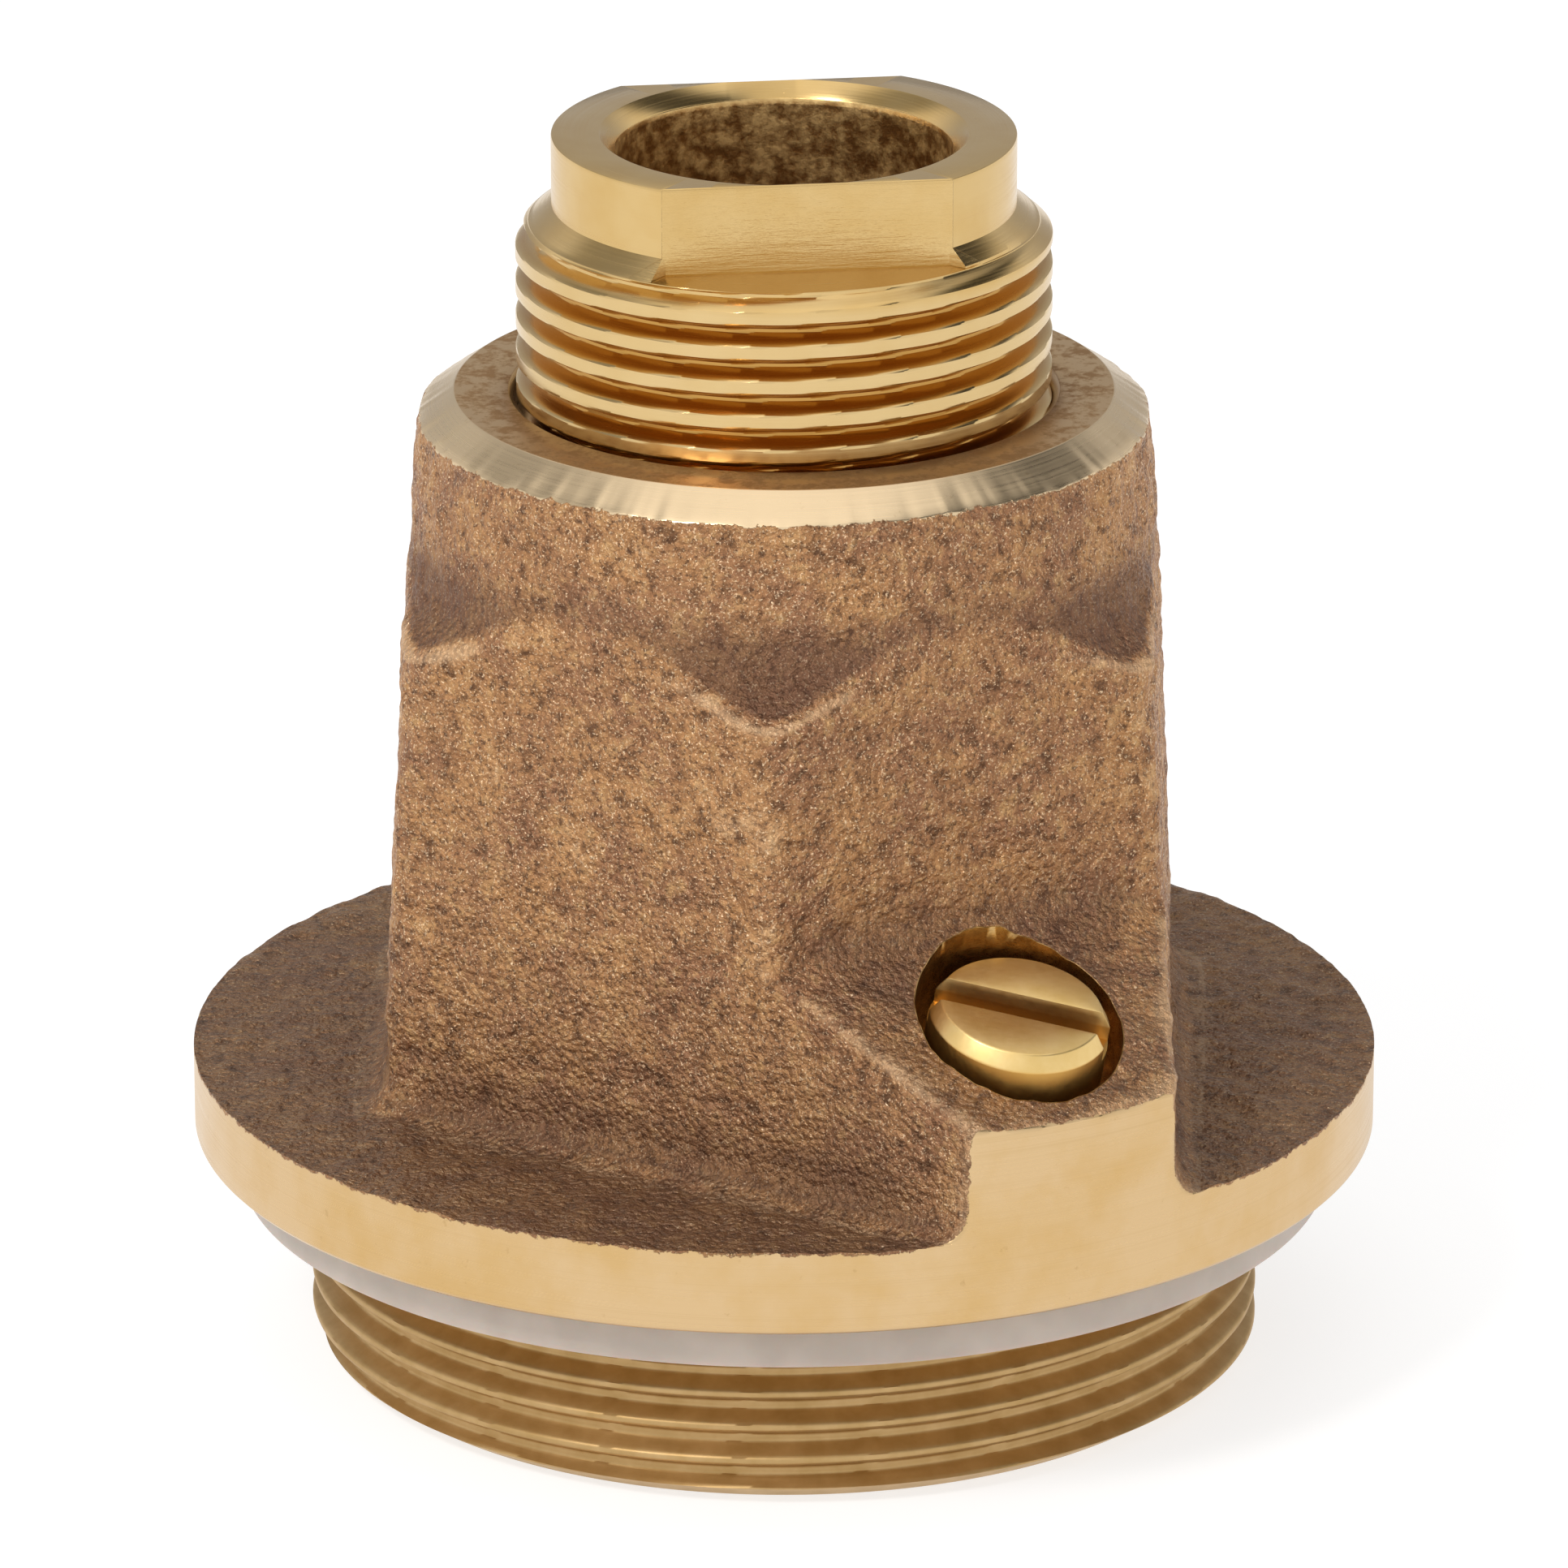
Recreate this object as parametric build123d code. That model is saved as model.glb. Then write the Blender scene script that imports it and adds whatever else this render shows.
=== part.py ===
from build123d import *

import math
import os

# Through-hull shaft gland: a cast bronze housing with a screwed spigot, a flange and a hexagon,
# and a brass sleeve that screws down on a packed box round the shaft.
#
# Frame: millimetres. +Z runs up the shaft axis and the origin is the centre of the spigot's
# lower end. Azimuths are in degrees, seen from above, counted from -Y towards +X.

# ---- Driving dimensions -------------------------------------------------------------------

THREAD_PITCH = 25.4 / 11.5          # straight pipe thread, 11.5 turns per inch, right-hand

SHAFT_R = 10.0                      # the 20 mm shaft that the fitting seals

SPIGOT_R = 60.33 / 2                # 2 inch pipe size, major radius
SPIGOT_END_R = 28.1                 # end face, inside the lead-in chamfer
SPIGOT_CHAMFER_H = 1.3
SPIGOT_THREAD_DEPTH = 1.2
SPIGOT_CREST = 0.35                 # width of the flat on top of each thread
SPIGOT_ROOT = 0.45
SPIGOT_CREST_Z = 7.55               # height of one crest at azimuth 0
RELIEF_R = 28.9                     # plain neck between the thread and the flange
RELIEF_Z = 12.2
RELIEF_STEP_H = 0.8                 # slope between the major radius and the relief

FLANGE_R = 37.5
FLANGE_Z0 = 14.5
FLANGE_Z1 = 19.9
FLANGE_EDGE = 0.35                  # broken edges of the rim
GASKET_R = 34.7
GASKET_BORE_R = 30.45
GASKET_Z0 = 11.2

HEX_APOTHEM = 24.56                 # at the flange's upper face
HEX_DRAFT = 0.04                    # apothem lost per millimetre of height
HEX_CORNER_R = 1.6
HEX_AZIMUTH = 28.1                  # direction of one facet's normal

SHELF_TIP_R = 27.0                  # the hexagon's corners end in a sloping shelf
SHELF_TIP_Z = 49.4
SHELF_SLOPE = 0.55
SHELF_COVE_R = 1.2
NECK_R0 = 24.0                      # round upper part, at the shelf
NECK_R1 = 22.9                      # the same, under the top chamfer
NECK_Z1 = 61.5
TOP_R = 20.6                        # flat ring on top of the housing
TOP_Z = 63.07

BOSS_AZIMUTH = 28.6                 # direction of the vent boss
BOSS_RIM_HALF = 7.4                 # half width where it meets the flange's rim
BOSS_RIM_Z = 27.2
BOSS_SLOPE = 0.54                   # rise of its top face per millimetre inwards
BOSS_COVE_R = 6.0
BOSS_INSET = 0.1                    # of its sides from the hexagon's corners
BOSS_MAX_H = 30.0                   # more than the boss's own height

CHAMBER_R = 25.5                    # water side, inside the spigot
CHAMBER_Z1 = 14.0
CHAMBER_EDGE = 0.6                  # broken edge at its mouth
HUB_R = 17.0                        # round hub that holds the neck bush
HUB_Z0 = 4.0
HUB_DRAFT = 0.5                     # growth of the hub's radius over its height
BUSH_R = 13.0
BOX_R = 15.0                        # packing box
BOX_Z0 = 20.0
BOX_Z1 = 48.0
BUSH_FLANGE_H = 2.0
BUSH_EDGE = 0.4
PACKING_SIDE = 5.0
PACKING_COUNT = 4
PACKING_BORE_R = 10.25              # relaxed, before the gland squeezes it on to the shaft
PACKING_CUT_W = 0.3
BOX_STEP_H = 0.8                    # slope between the box and the tapped length above it
MOUTH_EDGE = 0.45                   # broken edge at the top of the tapped length

SLEEVE_R = 33.40 / 2                # 1 inch pipe size, major radius
SLEEVE_THREAD_DEPTH = 1.15
SLEEVE_CREST = 0.8
SLEEVE_ROOT = 0.25
SLEEVE_CREST_Z = 63.8               # height of one crest at SLEEVE_CREST_AZIMUTH
SLEEVE_CREST_AZIMUTH = -13.0
SLEEVE_NECK_R = 14.45               # plain end above the thread
SLEEVE_CONE_Z0 = 73.3
SLEEVE_CONE_Z1 = 75.2
SLEEVE_TOP_Z = 79.6
SLEEVE_BORE_R = 10.5
SLEEVE_MOUTH_R = 11.43
SLEEVE_THREAD_Z0 = 51.0
SLEEVE_LEAD_H = 1.2                 # cone at the thread's lower end
SLEEVE_EDGE = 0.15
SLEEVE_STUB_R = 13.0                # end that turns inside the follower
FLAT_OFFSET = 11.35                 # from the axis to each of the two wrench flats
FLAT_Z0 = 74.05
FLAT_AZIMUTH = 7.3

NOSE_R = 14.7                       # sleeve nose and follower, inside the packing box
FOLLOWER_BORE_R = 10.4
FOLLOWER_PLATE_H = 1.55
FOLLOWER_H = 4.15
SNAP_WIRE_R = 0.6
SNAP_RING_R = 13.25
SNAP_GAP_DEG = 24.0
SNAP_RING_OVER_PLATE = 1.3          # height of the wire's centre above the follower's plate
SNAP_CLEARANCE = 0.3                # of the sleeve's groove round the wire

VENT_AZIMUTH = BOSS_AZIMUTH
VENT_TILT = 17.0                    # of the screw's axis, outwards from +Z
VENT_FACE_U = 30.4                  # centre of the head's face, out from the shaft axis
VENT_FACE_Z = 31.86
VENT_HEAD_R = 5.6
VENT_HEAD_H = 4.2
VENT_HEAD_CHAMFER_R = 0.6
VENT_HEAD_CHAMFER_H = 0.95
VENT_SLOT_W = 2.3
VENT_SLOT_DEPTH = 1.9
VENT_SLOT_TURN = -38.0
VENT_SEAT_R = 6.55                  # counterbore
VENT_SHANK_R = 6.35 / 2             # quarter inch, 20 turns per inch
VENT_PITCH = 25.4 / 20
VENT_THREAD_DEPTH = 0.6
VENT_THREAD_LENGTH = 8.0
VENT_CREST = 0.2
VENT_ROOT = 0.25
VENT_POINT_H = 1.6                  # coned point
VENT_NECK_H = 0.8                   # plain neck left under the seal
VENT_RUNOUT_H = 0.6                 # slope between the thread and the plain neck
VENT_SEAL_R = 5.4
VENT_SEAL_H = 1.0
VENT_PORT_R = 1.75

OVERLAP = 1.0                       # solids to be joined run this far into each other
CLEAR = 12.0                        # cutters run at least this far past an open face
GAP = 0.05                          # between faces of two bodies that bear on each other
RUNNING_FIT = 0.05                  # radial clearance of a turning fit


# ---- Helpers ------------------------------------------------------------------------------

def around(azimuth):
    """Turn about +Z that carries +X to the given azimuth."""
    return Rot(0, 0, azimuth - 90)


def turned(points):
    """Solid of revolution about Z from (radius, height) points."""
    outline = make_face(Polyline(*points, close=True))
    return revolve(Plane.XZ * outline, Axis.Z)


def ring(outer_r, inner_r, z0, z1):
    """Plain ring with square edges."""
    return turned([(inner_r, z0), (outer_r, z0), (outer_r, z1), (inner_r, z1)])


def thread_groove(major_r, depth, pitch, crest, root, z0, turns):
    """Cutter for a right-hand thread. Its centre is at height z0 over the +X axis."""
    flank = (pitch - crest - root) / 2
    clear = 0.3
    outer = root / 2 + flank * (depth + clear) / depth
    path = Helix(pitch, pitch * turns, major_r, center=(0, 0, z0))
    section = make_face(Polyline(
        (-depth, -root / 2),
        (clear, -outer),
        (clear, outer),
        (-depth, root / 2),
        close=True,
    ))
    start = Plane(origin=path @ 0, x_dir=(1, 0, 0), z_dir=path % 0)
    return sweep(start * section, path=path, is_frenet=True)


def groove_height(crest_z, azimuth, lowest):
    """Height over +X of the first groove below lowest, for a crest at crest_z and azimuth."""
    over_x = crest_z + THREAD_PITCH / 2 - THREAD_PITCH * (azimuth - 90) / 360
    return over_x - THREAD_PITCH * math.ceil((over_x - lowest) / THREAD_PITCH)


# ---- Housing ------------------------------------------------------------------------------

def spigot():
    blank = turned([
        (0, 0),
        (SPIGOT_END_R, 0),
        (SPIGOT_R, SPIGOT_CHAMFER_H),
        (SPIGOT_R, RELIEF_Z),
        (RELIEF_R, RELIEF_Z + RELIEF_STEP_H),
        (RELIEF_R, FLANGE_Z0 + OVERLAP),
        (0, FLANGE_Z0 + OVERLAP),
    ])
    start = groove_height(SPIGOT_CREST_Z, 0, -OVERLAP)
    end = RELIEF_Z + RELIEF_STEP_H + 0.1
    turns = (end - start) / THREAD_PITCH
    return blank - thread_groove(
        SPIGOT_R, SPIGOT_THREAD_DEPTH, THREAD_PITCH, SPIGOT_CREST, SPIGOT_ROOT, start, turns
    )


def flange():
    return turned([
        (0, FLANGE_Z0),
        (FLANGE_R - FLANGE_EDGE, FLANGE_Z0),
        (FLANGE_R, FLANGE_Z0 + FLANGE_EDGE),
        (FLANGE_R, FLANGE_Z1 - FLANGE_EDGE),
        (FLANGE_R - FLANGE_EDGE, FLANGE_Z1),
        (0, FLANGE_Z1),
    ])


def hex_apothem(z):
    """Distance from the axis to a facet of the drafted hexagon."""
    return HEX_APOTHEM - HEX_DRAFT * (z - FLANGE_Z1)


def hex_section(z):
    outline = RegularPolygon(hex_apothem(z), 6, major_radius=False, rotation=30)
    rounded = fillet(outline.vertices(), HEX_CORNER_R)
    return Pos(0, 0, z) * around(HEX_AZIMUTH) * rounded


def hexagon():
    """Drafted hexagon, turned down to a shelf on its corners and a round neck above it."""
    z0 = FLANGE_Z1 - OVERLAP / 2
    z1 = TOP_Z + OVERLAP
    blank = loft([hex_section(z0), hex_section(z1)], ruled=True)
    far_r = SHELF_TIP_R + CLEAR / 2
    shelf_far_z = SHELF_TIP_Z - SHELF_SLOPE * (far_r - SHELF_TIP_R)
    shelf_in_z = SHELF_TIP_Z + SHELF_SLOPE * (SHELF_TIP_R - NECK_R0)
    outline = make_face(Polyline(
        (0, z0 - OVERLAP),
        (far_r, z0 - OVERLAP),
        (far_r, shelf_far_z),
        (NECK_R0, shelf_in_z),
        (NECK_R1, NECK_Z1),
        (TOP_R, TOP_Z),
        (0, TOP_Z),
        close=True,
    ))
    inner_corner = outline.vertices().sort_by_distance((NECK_R0, shelf_in_z, 0))[0]
    outline = fillet(inner_corner, SHELF_COVE_R)
    return blank & revolve(Plane.XZ * outline, Axis.Z)


def boss_rim_u():
    return math.sqrt(FLANGE_R**2 - BOSS_RIM_HALF**2)


def boss_top_z(u):
    """Height of the boss's sloping face at a distance u from the shaft axis."""
    return BOSS_RIM_Z + BOSS_SLOPE * (boss_rim_u() - u)


def boss_plan(z):
    """Outline of the boss at one height. It narrows from a whole facet to the rim."""
    corner_u = hex_apothem(z)
    corner_half = corner_u * math.tan(math.radians(30)) - BOSS_INSET
    rim_half = BOSS_RIM_HALF - HEX_DRAFT * (z - FLANGE_Z1)
    flare = (corner_half - rim_half) / (boss_rim_u() - corner_u)
    inner_u = corner_u - 5 * OVERLAP
    outer_u = FLANGE_R + 2 * OVERLAP
    inner_half = corner_half + flare * (corner_u - inner_u)
    outer_half = rim_half - flare * (outer_u - boss_rim_u())
    return Pos(0, 0, z) * make_face(Polyline(
        (inner_u, -inner_half),
        (outer_u, -outer_half),
        (outer_u, outer_half),
        (inner_u, inner_half),
        close=True,
    ))


def vent_boss():
    """Wedge between the hexagon and the flange's rim that holds the vent screw."""
    inner_u = HEX_APOTHEM - 8 * OVERLAP
    outer_u = FLANGE_R + 3 * OVERLAP
    low_z = FLANGE_Z0 + OVERLAP
    high_z = FLANGE_Z0 + OVERLAP + BOSS_MAX_H
    column = loft([boss_plan(low_z), boss_plan(high_z)], ruled=True)

    # Inside the hexagon the wedge follows the facet, just under its skin.
    facet_u = hex_apothem(boss_top_z(HEX_APOTHEM)) - 2 * BOSS_INSET
    facet_z = boss_top_z(facet_u)
    buried_h = 9.0
    side = make_face(Polyline(
        (inner_u, FLANGE_Z0),
        (outer_u, FLANGE_Z0),
        (outer_u, boss_top_z(outer_u)),
        (facet_u, facet_z),
        (facet_u - HEX_DRAFT * buried_h, facet_z + buried_h),
        (inner_u, facet_z + buried_h),
        close=True,
    ))
    inner_corner = side.vertices().sort_by_distance((facet_u, facet_z, 0))[0]
    side = fillet(inner_corner, BOSS_COVE_R)
    wedge = extrude(Plane.XZ * side, FLANGE_R, both=True)
    on_floor = (Align.CENTER, Align.CENTER, Align.MIN)
    rim = Pos(0, 0, FLANGE_Z0) * Cylinder(FLANGE_R, TOP_Z, align=on_floor)
    return around(BOSS_AZIMUTH) * (column & wedge & rim)


def housing_bore():
    """Everything turned out of the inside of the housing, as one solid of revolution."""
    thread_r = SLEEVE_R + RUNNING_FIT
    return turned([
        (0, -OVERLAP),
        (CHAMBER_R + CHAMBER_EDGE, -OVERLAP),
        (CHAMBER_R + CHAMBER_EDGE, 0),
        (CHAMBER_R, CHAMBER_EDGE),
        (CHAMBER_R, CHAMBER_Z1),
        (HUB_R + HUB_DRAFT, CHAMBER_Z1),
        (HUB_R, HUB_Z0),
        (BUSH_R, HUB_Z0),
        (BUSH_R, BOX_Z0),
        (BOX_R, BOX_Z0),
        (BOX_R, BOX_Z1),
        (thread_r, BOX_Z1 + BOX_STEP_H),
        (thread_r, TOP_Z - MOUTH_EDGE),
        (thread_r + MOUTH_EDGE, TOP_Z),
        (thread_r + MOUTH_EDGE, TOP_Z + OVERLAP),
        (0, TOP_Z + OVERLAP),
    ])


def vent_frame():
    """Places a solid made along Z so that z=0 is the vent screw's face and +Z points out."""
    return around(VENT_AZIMUTH) * Pos(VENT_FACE_U, 0, VENT_FACE_Z) * Rot(0, VENT_TILT, 0)


def vent_hole():
    seat_z = -VENT_HEAD_H - VENT_SEAL_H - 2 * GAP
    tapped_z = seat_z - VENT_THREAD_LENGTH - OVERLAP
    port_z = -(VENT_FACE_Z - CHAMBER_Z1) / math.cos(math.radians(VENT_TILT)) - 2 * OVERLAP
    tapped_r = VENT_SHANK_R + RUNNING_FIT
    profile = turned([
        (0, port_z),
        (VENT_PORT_R, port_z),
        (VENT_PORT_R, tapped_z - OVERLAP),
        (tapped_r, tapped_z),
        (tapped_r, seat_z),
        (VENT_SEAT_R, seat_z),
        (VENT_SEAT_R, CLEAR),
        (0, CLEAR),
    ])
    return vent_frame() * profile


def gland_housing():
    outside = flange() + hexagon() + vent_boss() + spigot()
    return outside - housing_bore() - vent_hole()


# ---- Packed box ---------------------------------------------------------------------------

def neck_bush():
    """Flanged bush: guides the shaft, and its flange is the floor that the packing sits on."""
    bore_r = SHAFT_R + RUNNING_FIT
    return turned([
        (bore_r + BUSH_EDGE, HUB_Z0),
        (BUSH_R, HUB_Z0),
        (BUSH_R, BOX_Z0),
        (BOX_R, BOX_Z0),
        (BOX_R, BOX_Z0 + BUSH_FLANGE_H),
        (bore_r + BUSH_EDGE, BOX_Z0 + BUSH_FLANGE_H),
        (bore_r, BOX_Z0 + BUSH_FLANGE_H - BUSH_EDGE),
        (bore_r, HUB_Z0 + BUSH_EDGE),
    ])


def packing_ring(index):
    """Square braided packing, cut on a slant so that each ring closes round the shaft."""
    z0 = BOX_Z0 + BUSH_FLANGE_H + index * PACKING_SIDE
    body = ring(BOX_R, PACKING_BORE_R, z0, z0 + PACKING_SIDE)
    middle_r = (BOX_R + PACKING_BORE_R) / 2
    knife = Rot(45, 0, 0) * Box(3 * PACKING_SIDE, PACKING_CUT_W, 3 * PACKING_SIDE)
    cut = Pos(middle_r, 0, z0 + PACKING_SIDE / 2) * knife
    return Rot(0, 0, 90 * index + 20) * (body - cut)


def packing_top_z():
    return BOX_Z0 + BUSH_FLANGE_H + PACKING_COUNT * PACKING_SIDE


def snap_ring_z():
    return packing_top_z() + GAP + FOLLOWER_PLATE_H + SNAP_RING_OVER_PLATE


def gland_follower():
    """Cup that presses the packing; the sleeve's end turns inside its collar."""
    z0 = packing_top_z() + GAP
    plate_z = z0 + FOLLOWER_PLATE_H
    collar_r = SLEEVE_STUB_R + RUNNING_FIT
    body = turned([
        (FOLLOWER_BORE_R, z0),
        (NOSE_R, z0),
        (NOSE_R, z0 + FOLLOWER_H),
        (collar_r, z0 + FOLLOWER_H),
        (collar_r, plate_z),
        (FOLLOWER_BORE_R, plate_z),
    ])
    groove_r = SNAP_RING_R + SNAP_WIRE_R
    middle = snap_ring_z()
    low, high = middle - SNAP_WIRE_R, middle + SNAP_WIRE_R
    return body - ring(groove_r, collar_r - OVERLAP, low, high)


def follower_snap_ring():
    """Open wire ring that holds the follower on the sleeve."""
    wire = Plane.XZ * Pos(SNAP_RING_R, snap_ring_z()) * Circle(SNAP_WIRE_R)
    return revolve(wire, Axis.Z, 360 - SNAP_GAP_DEG)


def gland_sleeve():
    stub_z0 = packing_top_z() + 2 * GAP + FOLLOWER_PLATE_H
    shoulder_z = packing_top_z() + 2 * GAP + FOLLOWER_H
    snap_z = snap_ring_z()
    snap_half = SNAP_WIRE_R + SNAP_CLEARANCE
    snap_floor_r = SNAP_RING_R - SNAP_WIRE_R - SNAP_CLEARANCE
    root_r = SLEEVE_R - SLEEVE_THREAD_DEPTH
    thread_z0 = SLEEVE_THREAD_Z0
    mouth_h = SLEEVE_MOUTH_R - SLEEVE_BORE_R
    blank = turned([
        (SLEEVE_BORE_R, stub_z0),
        (SLEEVE_STUB_R, stub_z0),
        (SLEEVE_STUB_R, snap_z - snap_half),
        (snap_floor_r, snap_z - snap_half),
        (snap_floor_r, snap_z + snap_half),
        (SLEEVE_STUB_R, snap_z + snap_half),
        (SLEEVE_STUB_R, shoulder_z),
        (NOSE_R, shoulder_z),
        (NOSE_R, thread_z0),
        (root_r - 4 * GAP, thread_z0),
        (SLEEVE_R, thread_z0 + SLEEVE_LEAD_H),
        (SLEEVE_R, SLEEVE_CONE_Z0),
        (SLEEVE_NECK_R, SLEEVE_CONE_Z1),
        (SLEEVE_NECK_R, SLEEVE_TOP_Z - SLEEVE_EDGE),
        (SLEEVE_NECK_R - SLEEVE_EDGE, SLEEVE_TOP_Z),
        (SLEEVE_MOUTH_R, SLEEVE_TOP_Z),
        (SLEEVE_BORE_R, SLEEVE_TOP_Z - mouth_h),
    ])
    # The thread is cut from its upper end down, so it starts above the lead-in cone.
    upper = groove_height(SLEEVE_CREST_Z, SLEEVE_CREST_AZIMUTH, SLEEVE_CONE_Z1) + THREAD_PITCH
    turns = math.floor((upper - thread_z0) / THREAD_PITCH)
    threaded = blank - Rot(180, 0, 0) * thread_groove(
        SLEEVE_R, SLEEVE_THREAD_DEPTH, THREAD_PITCH, SLEEVE_CREST, SLEEVE_ROOT, -upper, turns
    )
    flat = Pos(FLAT_OFFSET + CLEAR / 2, 0, FLAT_Z0 + CLEAR / 2) * Box(CLEAR, 4 * CLEAR, CLEAR)
    for side in (FLAT_AZIMUTH, FLAT_AZIMUTH + 180):
        threaded -= around(side) * flat
    return threaded


# ---- Gasket and vent screw ----------------------------------------------------------------

def flange_gasket():
    return ring(GASKET_R, GASKET_BORE_R, GASKET_Z0, FLANGE_Z0)


def vent_screw():
    """Slotted cheese-head screw with a coned point."""
    under_head = -VENT_HEAD_H
    tip_z = under_head - VENT_SEAL_H - VENT_THREAD_LENGTH
    root_r = VENT_SHANK_R - VENT_THREAD_DEPTH
    neck_z = under_head - VENT_SEAL_H - VENT_NECK_H
    blank = turned([
        (0, tip_z),
        (VENT_PORT_R, tip_z),
        (VENT_SHANK_R, tip_z + VENT_POINT_H),
        (VENT_SHANK_R, neck_z - VENT_RUNOUT_H),
        (root_r, neck_z),
        (root_r, under_head),
        (VENT_HEAD_R, under_head),
        (VENT_HEAD_R, -VENT_HEAD_CHAMFER_H),
        (VENT_HEAD_R - VENT_HEAD_CHAMFER_R, 0),
        (0, 0),
    ])
    start = tip_z - OVERLAP / 2
    turns = (neck_z - VENT_CREST - start) / VENT_PITCH
    threaded = blank - thread_groove(
        VENT_SHANK_R, VENT_THREAD_DEPTH, VENT_PITCH, VENT_CREST, VENT_ROOT, start, turns
    )
    slot = Pos(0, 0, (OVERLAP - VENT_SLOT_DEPTH) / 2) * Box(
        VENT_SLOT_W, 3 * VENT_HEAD_R, VENT_SLOT_DEPTH + OVERLAP
    )
    return vent_frame() * (threaded - Rot(0, 0, VENT_SLOT_TURN) * slot)


def vent_screw_seal():
    """Sealing washer carried in the screw's neck, under its head."""
    top_z = -VENT_HEAD_H - GAP
    bore_r = VENT_SHANK_R - VENT_THREAD_DEPTH + RUNNING_FIT
    return vent_frame() * ring(VENT_SEAL_R, bore_r, top_z - VENT_SEAL_H, top_z)


# ---- Nodes --------------------------------------------------------------------------------

nodes = {
    "gland_housing": gland_housing(),
    "neck_bush": neck_bush(),
    "gland_follower": gland_follower(),
    "follower_snap_ring": follower_snap_ring(),
    "gland_sleeve": gland_sleeve(),
    "flange_gasket": flange_gasket(),
    "vent_screw": vent_screw(),
    "vent_screw_seal": vent_screw_seal(),
}
for index in range(PACKING_COUNT):
    nodes[f"packing_ring_{index + 1}"] = packing_ring(index)

os.makedirs("parts", exist_ok=True)
for name, solid in nodes.items():
    export_step(solid, f"parts/{name}.step")
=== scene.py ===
import math

import bmesh
import bpy
import numpy as np
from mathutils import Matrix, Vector


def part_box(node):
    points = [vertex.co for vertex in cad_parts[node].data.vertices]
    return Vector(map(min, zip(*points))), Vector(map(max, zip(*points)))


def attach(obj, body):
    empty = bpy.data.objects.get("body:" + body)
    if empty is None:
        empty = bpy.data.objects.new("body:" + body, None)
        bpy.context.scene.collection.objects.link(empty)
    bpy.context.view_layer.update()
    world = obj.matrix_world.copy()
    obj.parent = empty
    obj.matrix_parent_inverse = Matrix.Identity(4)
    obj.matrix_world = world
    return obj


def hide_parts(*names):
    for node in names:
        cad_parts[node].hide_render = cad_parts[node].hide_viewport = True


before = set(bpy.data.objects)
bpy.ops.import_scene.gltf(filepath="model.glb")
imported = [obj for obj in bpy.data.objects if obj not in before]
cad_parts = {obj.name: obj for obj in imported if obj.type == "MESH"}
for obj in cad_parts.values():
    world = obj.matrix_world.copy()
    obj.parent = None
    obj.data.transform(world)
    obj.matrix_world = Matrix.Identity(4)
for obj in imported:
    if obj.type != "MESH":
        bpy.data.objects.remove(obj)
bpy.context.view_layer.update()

# Lengths in this script are millimetres, in the part's own frame. MM turns them into metres.
# Azimuths are in degrees, seen from above, counted from -Y towards +X.
MM = 0.001

# ---- Sizes --------------------------------------------------------------------------------


def box_mm(node):
    low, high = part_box(node)
    return np.array(low) / MM, np.array(high) / MM


HOUSING_HIGH = box_mm("gland_housing")[1]
SLEEVE_LOW, SLEEVE_HIGH = box_mm("gland_sleeve")
GASKET_LOW, GASKET_HIGH = box_mm("flange_gasket")

PITCH = 25.4 / 11.5                 # both pipe threads, right-hand

CORNER = 0.05                       # a corner that is only broken, not rounded

FLANGE_R = HOUSING_HIGH[0]
FLANGE_Z0 = GASKET_HIGH[2]
FLANGE_Z1 = 19.9
FLANGE_EDGE = 0.3
TOP_Z = HOUSING_HIGH[2]
TOP_R = 20.6
CHAMFER_Z = 61.5

SPIGOT_R = 60.33 / 2
SPIGOT_END_R = 28.1
SPIGOT_CHAMFER_H = 1.3
SPIGOT_DEPTH = 1.2
SPIGOT_CREST = 0.3
SPIGOT_ROOT = 0.5
SPIGOT_CREST_Z = 7.55
RELIEF_R = 28.9
RELIEF_Z = 12.2

HEX_APOTHEM = 24.56
HEX_DRAFT = 0.04
HEX_AZIMUTH = 28.1
HEX_SHARPNESS = 70.0                # higher is a tighter corner
HEX_TOP_SHARPNESS = 28.0
HEX_WORN_Z0 = 38                    # from here up the corners soften
HEX_WORN_Z1 = 49
SHELF_TIP_R = 27.0
SHELF_TIP_Z = 49.1
SHELF_SLOPE = 0.55
SHELF_CURVE = 0.156                 # the shelf steepens towards the neck
NECK_R0 = 23.85
NECK_Z0 = 52.5
NECK_R1 = 22.9

BOSS_AZIMUTH = 28.6
BOSS_RIM_HALF = 7.4
BOSS_RIM_Z = 27.2
BOSS_SLOPE = 0.54
BOSS_COVE = 4.5
BOSS_SIDE_COVE = 0.8
BOSS_SPAN = 32.0                    # degrees from its middle to where it meets the hexagon
BOSS_SIDE_GAP = 0.1                 # inside the hexagon's corner
BOSS_EDGE = 0.9
FOOT_COVE = 2.2

SLEEVE_R = 33.40 / 2
SLEEVE_DEPTH = 1.15
SLEEVE_CREST = 0.8
SLEEVE_ROOT = 0.25
SLEEVE_CREST_Z = 63.8
SLEEVE_CREST_AZIMUTH = -13.0
SLEEVE_NECK_R = 14.45
SLEEVE_CONE_Z0 = 73.3
SLEEVE_CONE_Z1 = 75.2
SLEEVE_BORE_R = 10.5
SLEEVE_MOUTH_R = 11.43
SLEEVE_TAIL_R = 13.0                # holds the follower
SLEEVE_TAIL_Z1 = 46.25
SLEEVE_RING_R = 12.35               # snap ring's groove
SLEEVE_RING_Z0 = 44.0
SLEEVE_RING_Z1 = 45.8
SLEEVE_BODY_R = 14.7
SLEEVE_THREAD_Z0 = 51.0
SLEEVE_BEVEL = 0.07
SLEEVE_TOP_Z = SLEEVE_HIGH[2]
FLAT_OFFSET = 11.35
FLAT_Z0 = 74.05
FLAT_AZIMUTH = 7.3

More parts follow.
